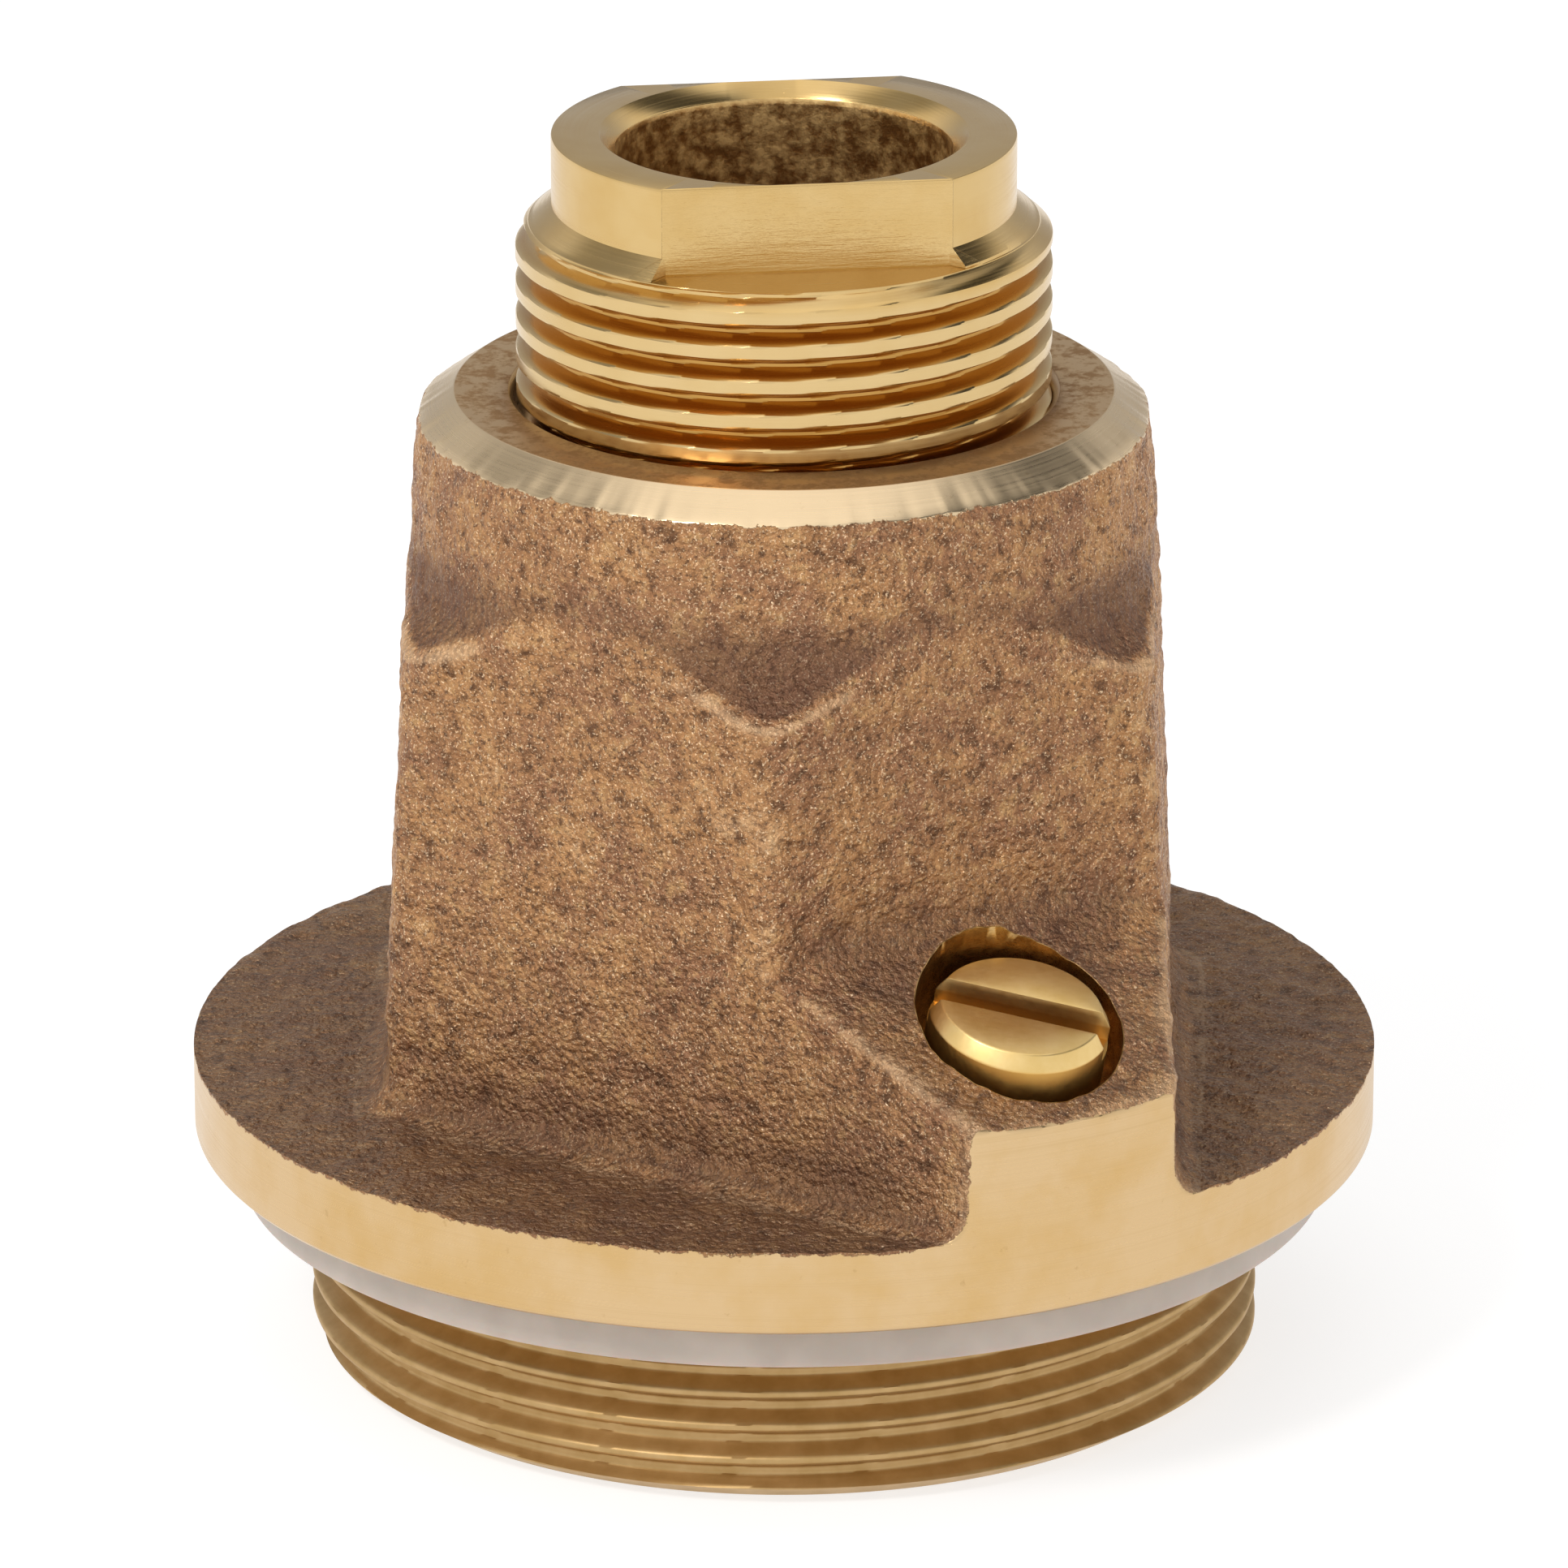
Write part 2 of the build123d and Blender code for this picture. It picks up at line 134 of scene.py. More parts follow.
VENT_TILT = 17.0
VENT_FACE_U = 30.4
VENT_FACE_Z = 31.86
VENT_SEAT_R = 6.55
VENT_SEAT_DEPTH = 5.3
VENT_HEAD_R = 5.6
VENT_HEAD_H = 4.2
VENT_SHANK_R = 6.35 / 2
VENT_SLOT_W = 2.3
VENT_SLOT_DEPTH = 1.9
VENT_SLOT_TURN = -38.0
VENT_CHAMFER_R = 5.0
VENT_CHAMFER_DEPTH = 0.95
VENT_TIP = 13.2                     # depths below the face
VENT_TIP_R = 1.75
VENT_TIP_CHAMFER = 1.6
VENT_NECK_DEPTH = 6.0
VENT_NECK_R = 2.575
VENT_ROOT_R = 2.6
VENT_PITCH = 25.4 / 20
VENT_TURNS = 4                      # so that the last one ends below the neck
VENT_TAPPED_DEPTH = 9.0             # below the seat
VENT_PASSAGE_DEPTH = 19.5

GASKET_BORE_R = 30.45

CHAMBER_R = 25.5
CHAMBER_Z1 = 14.0
CHAMBER_EDGE = 0.8
CHAMBER_LEAD = 0.6
HUB_R = 17.0
HUB_Z0 = 4.0
HUB_DRAFT = 0.5
BUSH_R = 13.0
BOX_R = 15.0
BOX_Z0 = 20.0
BOX_Z1 = SLEEVE_THREAD_Z0 - 3
THREAD_CLEARANCE = 0.05
THREAD_WALL_R = SLEEVE_R + THREAD_CLEARANCE
THREAD_LEAD = 0.5

# The cast field is a depth in millimetres: below zero on machined faces, above it on cast skin.
MACHINED = -3.0
CAST = 3.0
RIM_RAGGED = 0.22
CHAMFER_RAGGED = 0.2
CAST_LUMP = 0.22
CAST_GRAIN = 0.2

CAMERA_DISTANCE = 745.5
CAMERA_ELEVATION = 19.747
CAMERA_TARGET_Z = 36.7
CAMERA_LENS = 271.16


# ---- Noise and smooth blends --------------------------------------------------------------

def value_noise(points, cell, seed):
    """Smooth random field from -1 to 1 at an (n, 3) array of points."""
    scaled = points / cell
    base = np.floor(scaled).astype(np.int64)
    part = scaled - base
    part = part * part * (3 - 2 * part)
    total = np.zeros(len(points))
    for dx in (0, 1):
        for dy in (0, 1):
            for dz in (0, 1):
                corner = base + (dx, dy, dz)
                mixed = (corner[:, 0] * 73856093) ^ (corner[:, 1] * 19349663)
                mixed = (mixed ^ (corner[:, 2] * 83492791) ^ (seed * 2654435761)) & 0xFFFFFFFF
                mixed = ((mixed ^ (mixed >> 15)) * 2246822519) & 0xFFFFFFFF
                mixed = ((mixed ^ (mixed >> 13)) * 3266489917) & 0xFFFFFFFF
                level = ((mixed ^ (mixed >> 16)) & 0xFFFF) / 32767.5 - 1
                weight = np.ones(len(points))
                for axis, step in enumerate((dx, dy, dz)):
                    weight *= part[:, axis] if step else 1 - part[:, axis]
                total += weight * level
    return total


def fractal_noise(points, cell, octaves, seed):
    total = np.zeros(len(points))
    for octave in range(octaves):
        total += value_noise(points, cell / 2**octave, seed + octave) / 2**octave
    return total / (2 - 2 ** (1 - octaves))


def soft_max(a, b, width):
    """Larger of a and b, with a cove of about this width where they cross."""
    gap = np.clip(0.5 + 0.5 * (a - b) / width, 0, 1)
    return b + (a - b) * gap + width * gap * (1 - gap)


def soft_min(a, b, width):
    return -soft_max(-a, -b, width)


def smooth_step(value, low, high):
    t = np.clip((value - low) / (high - low), 0, 1)
    return t * t * (3 - 2 * t)


# ---- Meshes -------------------------------------------------------------------------------

def azimuths(count):
    return np.arange(count) * 360.0 / count


def degrees_from(azimuth, middle):
    """Azimuth counted from middle, -180 to 180."""
    return (azimuth - middle + 180) % 360 - 180


def rows_to_points(radius, azimuth, height):
    """Cylindrical (rows, columns) arrays to a (rows, columns, 3) array."""
    angle = np.radians(azimuth)
    x = radius * np.sin(angle)
    y = -radius * np.cos(angle)
    return np.stack([x, y, np.broadcast_to(height, x.shape)], axis=-1)


def surface_normals(points):
    """Normals of a grid that closes on itself both ways, pointing out of the solid."""
    along = np.roll(points, -1, axis=1) - np.roll(points, 1, axis=1)
    up = np.roll(points, -1, axis=0) - np.roll(points, 1, axis=0)
    normal = np.cross(along, up)
    length = np.linalg.norm(normal, axis=-1, keepdims=True)
    return normal / np.maximum(length, 1e-9)


def grid_mesh(name, points, fields=None, sharp_angle=38.0):
    """Closed mesh from a (rows, columns, 3) grid. Rows run up the outside and down the inside."""
    rows, columns = points.shape[:2]
    index = np.arange(rows * columns).reshape(rows, columns)
    right = np.roll(index, -1, axis=1)
    above = np.roll(index, -1, axis=0)
    corner = np.roll(above, -1, axis=1)
    quads = np.stack([index, right, corner, above], axis=-1).reshape(-1, 4)
    mesh = bpy.data.meshes.new(name)
    mesh.vertices.add(rows * columns)
    mesh.vertices.foreach_set("co", (points * MM).astype(np.float32).ravel())
    mesh.loops.add(quads.size)
    mesh.loops.foreach_set("vertex_index", quads.astype(np.int32).ravel())
    mesh.polygons.add(len(quads))
    mesh.polygons.foreach_set("loop_start", np.arange(0, quads.size, 4, dtype=np.int32))
    mesh.update(calc_edges=True)
    for field, values in (fields or {}).items():
        attribute = mesh.attributes.new(field, "FLOAT", "POINT")
        attribute.data.foreach_set("value", values.astype(np.float32).ravel())
    obj = bpy.data.objects.new(name, mesh)
    bpy.context.scene.collection.objects.link(obj)
    weld(mesh)
    mesh.shade_smooth()
    mesh.set_sharp_from_angle(angle=math.radians(sharp_angle))
    return obj


def weld(mesh):
    """Joins grid points that lie on each other."""
    work = bmesh.new()
    work.from_mesh(mesh)
    bmesh.ops.remove_doubles(work, verts=work.verts, dist=2e-6)
    bmesh.ops.dissolve_degenerate(work, edges=work.edges, dist=1e-6)
    work.to_mesh(mesh)
    work.free()
    mesh.update()


def rounded_profile(corners, bevel):
    """(radius, height) corners with each one turned into a small round of three points."""
    corners = np.array(corners, float)
    count = len(corners)
    result = []
    for i in range(count):
        here = corners[i]
        before = corners[i - 1] - here
        after = corners[(i + 1) % count] - here
        size = min(bevel, 0.35 * np.linalg.norm(before), 0.35 * np.linalg.norm(after))
        start = here + before / np.linalg.norm(before) * size
        end = here + after / np.linalg.norm(after) * size
        result += [start, 0.5 * here + 0.25 * (start + end), end]
    return np.array(result)


def turned_points(profile, columns):
    """(rows, columns, 3) points of a list of (radius, height), turned about Z."""
    azimuth = azimuths(columns)[None, :]
    radius = profile[:, :1] + 0 * azimuth
    height = profile[:, 1:2] + 0 * azimuth
    return rows_to_points(radius, azimuth, height)


def lathe(name, corners, columns, bevel):
    """Turned ring. The corners run up the outside and down the inside."""
    return grid_mesh(name, turned_points(rounded_profile(corners, bevel), columns))


def solid_rod(name, profile, columns):
    """Turned solid with a closed axis: (radius, height) from the bottom centre to the top."""
    least_r = 1e-4
    profile = np.array([(max(radius, least_r), height) for radius, height in profile])
    return grid_mesh(name, turned_points(profile, columns))


def thread_radius(
    azimuth, height, major, depth, crest, root, crest_z, crest_azimuth=0,
):
    """Radius of a right-hand thread's surface, with softened crests and roots.

    One crest passes through height crest_z at crest_azimuth. The crest and the root are the
    widths of their flats.
    """
    rounding = 0.35
    turns = (height - crest_z) / PITCH - (azimuth - crest_azimuth) / 360
    from_crest = np.abs(turns - np.round(turns)) * PITCH
    fall = np.clip((from_crest - crest / 2) / ((PITCH - crest - root) / 2), 0, 1)
    fall = (1 - rounding) * fall + rounding * fall * fall * (3 - 2 * fall)
    return major - depth * fall


# ---- Housing ------------------------------------------------------------------------------

def hexagon_radius(azimuth, height):
    apothem = HEX_APOTHEM - HEX_DRAFT * (height - FLANGE_Z1)
    worn = smooth_step(height, HEX_WORN_Z0, HEX_WORN_Z1)
    sharpness = HEX_SHARPNESS + (HEX_TOP_SHARPNESS - HEX_SHARPNESS) * worn
    total = 0
    for facet in range(6):
        off = np.radians(azimuth - HEX_AZIMUTH - 60 * facet)
        total = total + np.maximum(np.cos(off), 0) ** sharpness
    return apothem / total ** (1 / sharpness)


def neck_radius(height):
    return NECK_R0 + (NECK_R1 - NECK_R0) * (height - NECK_Z0) / (CHAMFER_Z - NECK_Z0)


def shelf_radius(height):
    """Radius of the sunk shelf on top of the hexagon, steepening from its tip to the neck."""
    rise = height - SHELF_TIP_Z
    curved = np.sqrt(SHELF_SLOPE**2 + 4 * SHELF_CURVE * np.maximum(rise, 0)) - SHELF_SLOPE
    return SHELF_TIP_R - np.where(rise > 0, curved / (2 * SHELF_CURVE), rise / SHELF_SLOPE)


def on_shelf(azimuth, height):
    """Two masks, one for the sunk shelf and one for its lip, which steer painted shade in the
    shelf's cove and a painted highlight on the lip.
    """
    inside = hexagon_radius(azimuth, height) - shelf_radius(height)
    proud = shelf_radius(height) - neck_radius(height)
    shelf = smooth_step(inside, 0.1, 0.9) * smooth_step(proud, -2.4, 0.6)
    lip = np.exp(-((inside + 0.1) / 0.45) ** 2) * smooth_step(proud, 0.0, 1.0)
    return shelf, lip


def boss_radius(azimuth, height):
    """Radius of the vent boss: its sloping top and its two converging sides."""
    off = degrees_from(azimuth, BOSS_AZIMUTH)
    rim_u = math.sqrt(FLANGE_R**2 - BOSS_RIM_HALF**2)
    corner_half = HEX_APOTHEM * math.tan(math.radians(30)) - BOSS_SIDE_GAP
    flare = (corner_half - BOSS_RIM_HALF) / (rim_u - HEX_APOTHEM)
    reach = corner_half + flare * HEX_APOTHEM - HEX_DRAFT * (height - FLANGE_Z1)
    near = np.radians(np.clip(off, -75, 75))
    side = reach / (np.abs(np.sin(near)) + flare * np.cos(near))
    top = np.maximum(rim_u + (BOSS_RIM_Z - height) / BOSS_SLOPE, 0) / np.cos(near)
    past = smooth_step(np.abs(off), BOSS_SPAN - 1, BOSS_SPAN + 8)
    return soft_min(side, top, BOSS_EDGE) - 8 * past


def cast_radius(azimuth, height):
    """Radius of the casting's wall before machining."""
    neck = soft_max(neck_radius(height), shelf_radius(height), 0.7)
    wall = soft_min(hexagon_radius(azimuth, height), neck, 0.5)
    off = np.abs(degrees_from(azimuth, BOSS_AZIMUTH))
    amid = smooth_step(off, BOSS_SPAN, BOSS_SPAN - 12)
    cove = BOSS_SIDE_COVE + (BOSS_COVE - BOSS_SIDE_COVE) * amid
    wall = soft_max(wall, boss_radius(azimuth, height), cove)
    lift = np.clip(FOOT_COVE - (height - FLANGE_Z1), 0, FOOT_COVE)
    return wall + FOOT_COVE - np.sqrt(FOOT_COVE**2 - lift**2)


def wall_radius(azimuth, height):
    return np.minimum(cast_radius(azimuth, height), FLANGE_R)


def ridge(azimuth, height, reach):
    """How far the wall stands out from the wall round it: below zero in coves."""
    turn = math.degrees(reach / HEX_APOTHEM)
    near = wall_radius(azimuth - turn, height) + wall_radius(azimuth + turn, height)
    near = near + wall_radius(azimuth, height - reach) + wall_radius(azimuth, height + reach)
    return wall_radius(azimuth, height) - near / 4


# (radius, height) down the inside of the housing
INSIDE = [
    (THREAD_WALL_R, TOP_Z - THREAD_LEAD),
    (THREAD_WALL_R, BOX_Z1 + 0.8),
    (BOX_R, BOX_Z1),
    (BOX_R, BOX_Z0),
    (BUSH_R, BOX_Z0),
    (BUSH_R, HUB_Z0),
    (HUB_R, HUB_Z0),
    (HUB_R + HUB_DRAFT, CHAMBER_Z1),
    (CHAMBER_R - CHAMBER_EDGE, CHAMBER_Z1),
    (CHAMBER_R, CHAMBER_Z1 - CHAMBER_EDGE),
    (CHAMBER_R, CHAMBER_LEAD),
]


def stacked(rows):
    """Rows of equally long tuples of columns, as one array for each place in the tuple."""
    return [np.array(column) for column in zip(*rows)]


def casting_row(azimuth, radius, height, made, edge=0.0, hollow=0.0):
    """A ring of the casting: its radius, its height and the cast, edge and hollow fields."""
    return [value + 0 * azimuth for value in (radius, height, made, edge, hollow)]


def spigot_rows(azimuth):
    """The thread from its lower end to the gasket's seat."""
    rows = [
        casting_row(azimuth, CHAMBER_R + CHAMBER_LEAD, 0, MACHINED),
        casting_row(azimuth, SPIGOT_END_R - CORNER, 0, MACHINED),
    ]
    for height in np.linspace(0.03, RELIEF_Z, 122):
        cone = SPIGOT_END_R + height * (SPIGOT_R - SPIGOT_END_R) / SPIGOT_CHAMFER_H
        thread = thread_radius(
            azimuth, height, SPIGOT_R, SPIGOT_DEPTH, SPIGOT_CREST, SPIGOT_ROOT, SPIGOT_CREST_Z,
        )
        radius = soft_min(thread, cone + 0 * azimuth, 0.06)
        rows.append(casting_row(azimuth, radius, height, MACHINED))
    rows.append(casting_row(azimuth, RELIEF_R, RELIEF_Z + 0.8, MACHINED))
    rows.append(casting_row(azimuth, RELIEF_R, FLANGE_Z0, MACHINED))
    return rows


def flange_rows(azimuth):
    """The machined rim, its ragged upper border and the cast top of the flange."""
    low = FLANGE_R - FLANGE_EDGE
    rows = [
        casting_row(azimuth, low - CORNER, FLANGE_Z0, MACHINED),
        casting_row(azimuth, low, FLANGE_Z0 + 0.02, MACHINED),
        casting_row(azimuth, FLANGE_R - 0.03, FLANGE_Z0 + FLANGE_EDGE, MACHINED),
    ]
    level = FLANGE_Z1 + 0 * azimuth
    foot = wall_radius(azimuth, level)
    open_top = smooth_step(FLANGE_R - foot, 0.1, 0.7)
    border = rows_to_points(FLANGE_R + 0 * azimuth, azimuth, level)
    ragged = RIM_RAGGED * fractal_noise(border, 1.9, 3, 11) * open_top
    onset = 0.12                        # how deep the skin reaches before it counts as cast
    rim_z = FLANGE_Z0 + FLANGE_EDGE
    for share in (0.02, 0.25, 0.5, 0.7, 0.85, 0.95, 1.0):
        height = rim_z + share * (FLANGE_Z1 - FLANGE_Z0 - FLANGE_EDGE + ragged)
        made = height - FLANGE_Z1 + onset - ragged - 3 * (1 - open_top)
        rows.append(casting_row(azimuth, FLANGE_R, height, made))
    for share in np.linspace(0.004, 0.97, 30):
        radius = FLANGE_R + share * (foot - FLANGE_R)
        made = np.minimum(FLANGE_R - radius, CAST) + onset - 0.3 * (1 - open_top)
        rows.append(casting_row(azimuth, radius, FLANGE_Z1 + ragged * (1 - share), made))
    return rows


def wall_rows(azimuth):
    """The hexagon, boss and neck, with rows closest together where the wall curves most."""
    heights = np.concatenate([
        FLANGE_Z1 + np.array([0.0, 0.02, 0.08, 0.18, 0.32, 0.5, 0.75, 1.05, 1.4, 1.8, 2.2]),
        np.linspace(22.5, 25.5, 9),
        np.linspace(25.75, 36, 42),
        np.linspace(36.35, 47.4, 32),
        np.linspace(47.6, 52.4, 32),
        np.linspace(52.75, 61.3, 25),
    ])
    rows = []
    for height in heights:
        level = height + 0 * azimuth
        raw = cast_radius(azimuth, level)
        depth = np.minimum(FLANGE_R - raw, CHAMFER_Z - height)
        # The edge field steers wear and painted highlight, the lip adding a painted highlight along
        # the shelf's edge; the hollow field steers painted shade, the shelf adding painted shade in
        # its cove.
        shelf, lip = on_shelf(azimuth, level)
        edge = ridge(azimuth, level, 0.8) + 0.34 * lip
        hollow = -ridge(azimuth, level, 3.2) + 1.6 * shelf
        radius = np.minimum(raw, FLANGE_R)
        rows.append(casting_row(azimuth, radius, height, np.minimum(depth, CAST), edge, hollow))
    return rows


def top_rows(azimuth):
    """The machined chamfer with its ragged lower border, and the top ring."""
    level = CHAMFER_Z + 0 * azimuth
    border = rows_to_points(NECK_R1 + 0 * azimuth, azimuth, level)
    border = CHAMFER_RAGGED * fractal_noise(border, 1.6, 3, 17)
    neck_wall = cast_radius(azimuth, level)
    rows = [casting_row(azimuth, neck_wall, CHAMFER_Z - CORNER + border, 0.05)]
    for share in (0.03, 0.3, 0.65, 0.97, 1.0):
        radius = neck_wall + share * (TOP_R - neck_wall)
        height = CHAMFER_Z + border * (1 - share) + share * (TOP_Z - CHAMFER_Z)
        rows.append(casting_row(azimuth, radius, height, -0.05 - 1.5 * share))
    lead_r = SLEEVE_R + THREAD_LEAD
    for radius, height in [
        (TOP_R - 0.08, TOP_Z), (19.0, TOP_Z), (lead_r + CORNER, TOP_Z), (lead_r, TOP_Z - CORNER),
    ]:
        rows.append(casting_row(azimuth, radius, height, MACHINED))
    return rows


def housing_casting():
    """The whole casting: thread, flange, hexagon, boss, neck and bore, as one closed surface."""
    azimuth = azimuths(600)
    rows = spigot_rows(azimuth) + flange_rows(azimuth) + wall_rows(azimuth) + top_rows(azimuth)
    for radius, height in INSIDE:
        rows.append(casting_row(azimuth, radius, height, MACHINED))
    radius, height, made, edge, hollow = stacked(rows)
    points = rows_to_points(radius, azimuth[None, :], height)
    flat = points.reshape(-1, 3)
    relief = CAST_LUMP * fractal_noise(flat, 3.4, 2, 23)
    relief = relief + CAST_GRAIN * fractal_noise(flat, 0.95, 2, 31)
    relief = relief.reshape(radius.shape) * smooth_step(made, 0.05, 0.8)
    points = points + surface_normals(points) * relief[..., None]
    fields = {"cast": made, "edge": edge, "hollow": hollow}
    piece = grid_mesh("casting", points, fields, sharp_angle=50)
    cut_vent_hole(piece)
    return piece


def vent_points(points):
    """Points made along the vent screw's axis, z = 0 on its face, into the part's frame."""
    tilt = math.radians(VENT_TILT)
    turn = math.radians(BOSS_AZIMUTH - 90)
    x, y, z = points[..., 0], points[..., 1], points[..., 2]
    leaned_x = x * math.cos(tilt) + z * math.sin(tilt) + VENT_FACE_U
    leaned_z = -x * math.sin(tilt) + z * math.cos(tilt) + VENT_FACE_Z
    return np.stack([
        leaned_x * math.cos(turn) - y * math.sin(turn),
        leaned_x * math.sin(turn) + y * math.cos(turn),
        leaned_z,
    ], axis=-1)


def along_vent(piece):
    """Moves a mesh made along Z to the vent screw's axis."""
    count = len(piece.data.vertices)
    flat = np.zeros(count * 3, np.float32)
    piece.data.vertices.foreach_get("co", flat)
    placed = vent_points(flat.reshape(-1, 3) / MM) * MM
    piece.data.vertices.foreach_set("co", placed.astype(np.float32).ravel())
    piece.data.update()
    return piece


def cut(piece, tool):
    """Takes tool out of piece and deletes tool."""
    modifier = piece.modifiers.new("cut", "BOOLEAN")
    modifier.operation = "DIFFERENCE"
    modifier.solver = "EXACT"
    modifier.object = tool
    apply_modifiers(piece)
    bpy.data.objects.remove(tool)


def apply_modifiers(piece):
    bpy.context.view_layer.update()
    graph = bpy.context.evaluated_depsgraph_get()
    final = bpy.data.meshes.new_from_object(piece.evaluated_get(graph))
    piece.modifiers.clear()
    piece.data = final


def cut_vent_hole(piece):
    """The counterbore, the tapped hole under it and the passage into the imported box."""
    seat = -VENT_SEAT_DEPTH
    bottom = -VENT_PASSAGE_DEPTH
    tapped_r = VENT_SHANK_R + THREAD_CLEARANCE
    tapped_end = seat - VENT_TAPPED_DEPTH
    above = 12
    tool = solid_rod("vent_tool", [
        (0, bottom), (VENT_TIP_R, bottom), (VENT_TIP_R, tapped_end - 1), (tapped_r, tapped_end),
        (tapped_r, seat), (VENT_SEAT_R, seat), (VENT_SEAT_R, 0), (VENT_SEAT_R, above), (0, above),
    ], 96)
    cut(piece, along_vent(tool))
    piece.data.shade_smooth()
    piece.data.set_sharp_from_angle(angle=math.radians(50))


# ---- Sleeve -------------------------------------------------------------------------------

def sleeve_azimuths(count):
    """Columns that land on both edges of both flats."""
    half = math.degrees(math.acos(FLAT_OFFSET / SLEEVE_NECK_R))
    edges = []
    for middle in (FLAT_AZIMUTH, FLAT_AZIMUTH + 180):
        edges += [middle - half, middle + half]
    stops = edges + [edges[0] + 360]
    columns = []
    for low, high in zip(stops, stops[1:]):
        steps = round(count * (high - low) / 360)
        columns.append(np.linspace(low, high, steps, endpoint=False))
    return np.concatenate(columns)


def flat_radius(azimuth):
    """Radius of the neck with its two flats."""
    off = np.radians(azimuth - FLAT_AZIMUTH)
    return np.minimum(SLEEVE_NECK_R, FLAT_OFFSET / np.maximum(np.abs(np.cos(off)), 0.2))


def sleeve_radius(azimuth, height):
    """Radius outside the sleeve: thread, cone and neck, before the flats are milled."""
    cone_share = (height - SLEEVE_CONE_Z0) / (SLEEVE_CONE_Z1 - SLEEVE_CONE_Z0)
    cone = SLEEVE_R + cone_share * (SLEEVE_NECK_R - SLEEVE_R) + 0 * azimuth
    end = SLEEVE_R - SLEEVE_DEPTH + (height - SLEEVE_THREAD_Z0)
    thread = thread_radius(
        azimuth, height, SLEEVE_R, SLEEVE_DEPTH, SLEEVE_CREST, SLEEVE_ROOT,
        SLEEVE_CREST_Z, SLEEVE_CREST_AZIMUTH,
    )
    body = soft_min(np.minimum(thread, end), cone, 0.08)
    return np.maximum(body, SLEEVE_NECK_R)


def sleeve_row(azimuth, radius, height, inner=0.0):
    """A ring of the sleeve. Its inner field is 0 outside and 1 in the bore."""
    return [value + 0 * azimuth for value in (radius, height, inner)]


def sleeve_tail_rows(azimuth):
    """The plain lower end with the snap ring's groove, up to where the thread starts."""
    bevel = SLEEVE_BEVEL
    profile = [
        (SLEEVE_BORE_R + bevel, SLEEVE_LOW[2]),
        (SLEEVE_TAIL_R - bevel, SLEEVE_LOW[2]),
        (SLEEVE_TAIL_R, SLEEVE_LOW[2] + bevel),
        (SLEEVE_TAIL_R, SLEEVE_RING_Z0),
        (SLEEVE_RING_R, SLEEVE_RING_Z0),
        (SLEEVE_RING_R, SLEEVE_RING_Z1),
        (SLEEVE_TAIL_R, SLEEVE_RING_Z1),
        (SLEEVE_TAIL_R, SLEEVE_TAIL_Z1),
        (SLEEVE_BODY_R - bevel, SLEEVE_TAIL_Z1),
        (SLEEVE_BODY_R, SLEEVE_TAIL_Z1 + bevel),
        (SLEEVE_BODY_R, SLEEVE_THREAD_Z0 - 0.1),
    ]
    return [sleeve_row(azimuth, radius, height) for radius, height in profile]


def sleeve_outer_rows(azimuth):
    """The thread, then the cone and the plain neck with the flats cut into them."""
    bevel = SLEEVE_BEVEL
    rows = []
    for height in np.arange(SLEEVE_THREAD_Z0, FLAT_Z0 - bevel, 0.1):
        rows.append(sleeve_row(azimuth, sleeve_radius(azimuth, height), height))
    shoulder = sleeve_radius(azimuth, FLAT_Z0 - bevel)
    rows.append(sleeve_row(azimuth, shoulder, FLAT_Z0 - bevel))
    rows.append(sleeve_row(azimuth, shoulder - 0.3 * bevel, FLAT_Z0 - 0.3 * bevel))
    rows.append(sleeve_row(azimuth, sleeve_radius(azimuth, FLAT_Z0), FLAT_Z0))
    flat = flat_radius(azimuth)
    on_flat = flat < SLEEVE_NECK_R - 1e-6
    above = [FLAT_Z0 + 0.001, FLAT_Z0 + 0.2, 74.5, 74.8, 75.0, SLEEVE_CONE_Z1, 75.3, 77, 79.2]
    for height in above:
        radius = np.where(on_flat, flat, sleeve_radius(azimuth, height))
        rows.append(sleeve_row(azimuth, radius, height))
    return rows


def sleeve_inner_rows(azimuth):
    """The top edge, the chamfered mouth and the bore."""
    rim = flat_radius(azimuth)
    mouth_h = SLEEVE_MOUTH_R - SLEEVE_BORE_R
    mouth_top = np.minimum(SLEEVE_MOUTH_R + 0.04, rim - 0.13)
    mouth_edge = np.minimum(SLEEVE_MOUTH_R, rim - 0.14) - 0.03
    rows = [
        sleeve_row(azimuth, rim, SLEEVE_TOP_Z - 0.14),
        sleeve_row(azimuth, rim - 0.03, SLEEVE_TOP_Z - CORNER),
        sleeve_row(azimuth, rim - 0.12, SLEEVE_TOP_Z),
        sleeve_row(azimuth, mouth_top, SLEEVE_TOP_Z),
        sleeve_row(azimuth, mouth_edge, SLEEVE_TOP_Z - CORNER, 0.2),
        sleeve_row(azimuth, SLEEVE_BORE_R + CORNER, SLEEVE_TOP_Z - mouth_h + CORNER, 0.6),
        sleeve_row(azimuth, SLEEVE_BORE_R, SLEEVE_TOP_Z - mouth_h - CORNER, 0.8),
    ]
    for height in np.linspace(SLEEVE_TOP_Z - 1.4, SLEEVE_LOW[2] + 0.3, 24):
        rows.append(sleeve_row(azimuth, SLEEVE_BORE_R, height, 1.0))
    rows.append(sleeve_row(azimuth, SLEEVE_BORE_R, SLEEVE_LOW[2] + SLEEVE_BEVEL, 1.0))
    return rows


def sleeve_piece():
    azimuth = sleeve_azimuths(600)
    rows = sleeve_tail_rows(azimuth) + sleeve_outer_rows(azimuth) + sleeve_inner_rows(azimuth)
    radius, height, inner = stacked(rows)
    points = rows_to_points(radius, azimuth[None, :], height)
    return grid_mesh("sleeve", points, {"inner": inner}, sharp_angle=32)


# ---- Gasket and vent screw ----------------------------------------------------------------

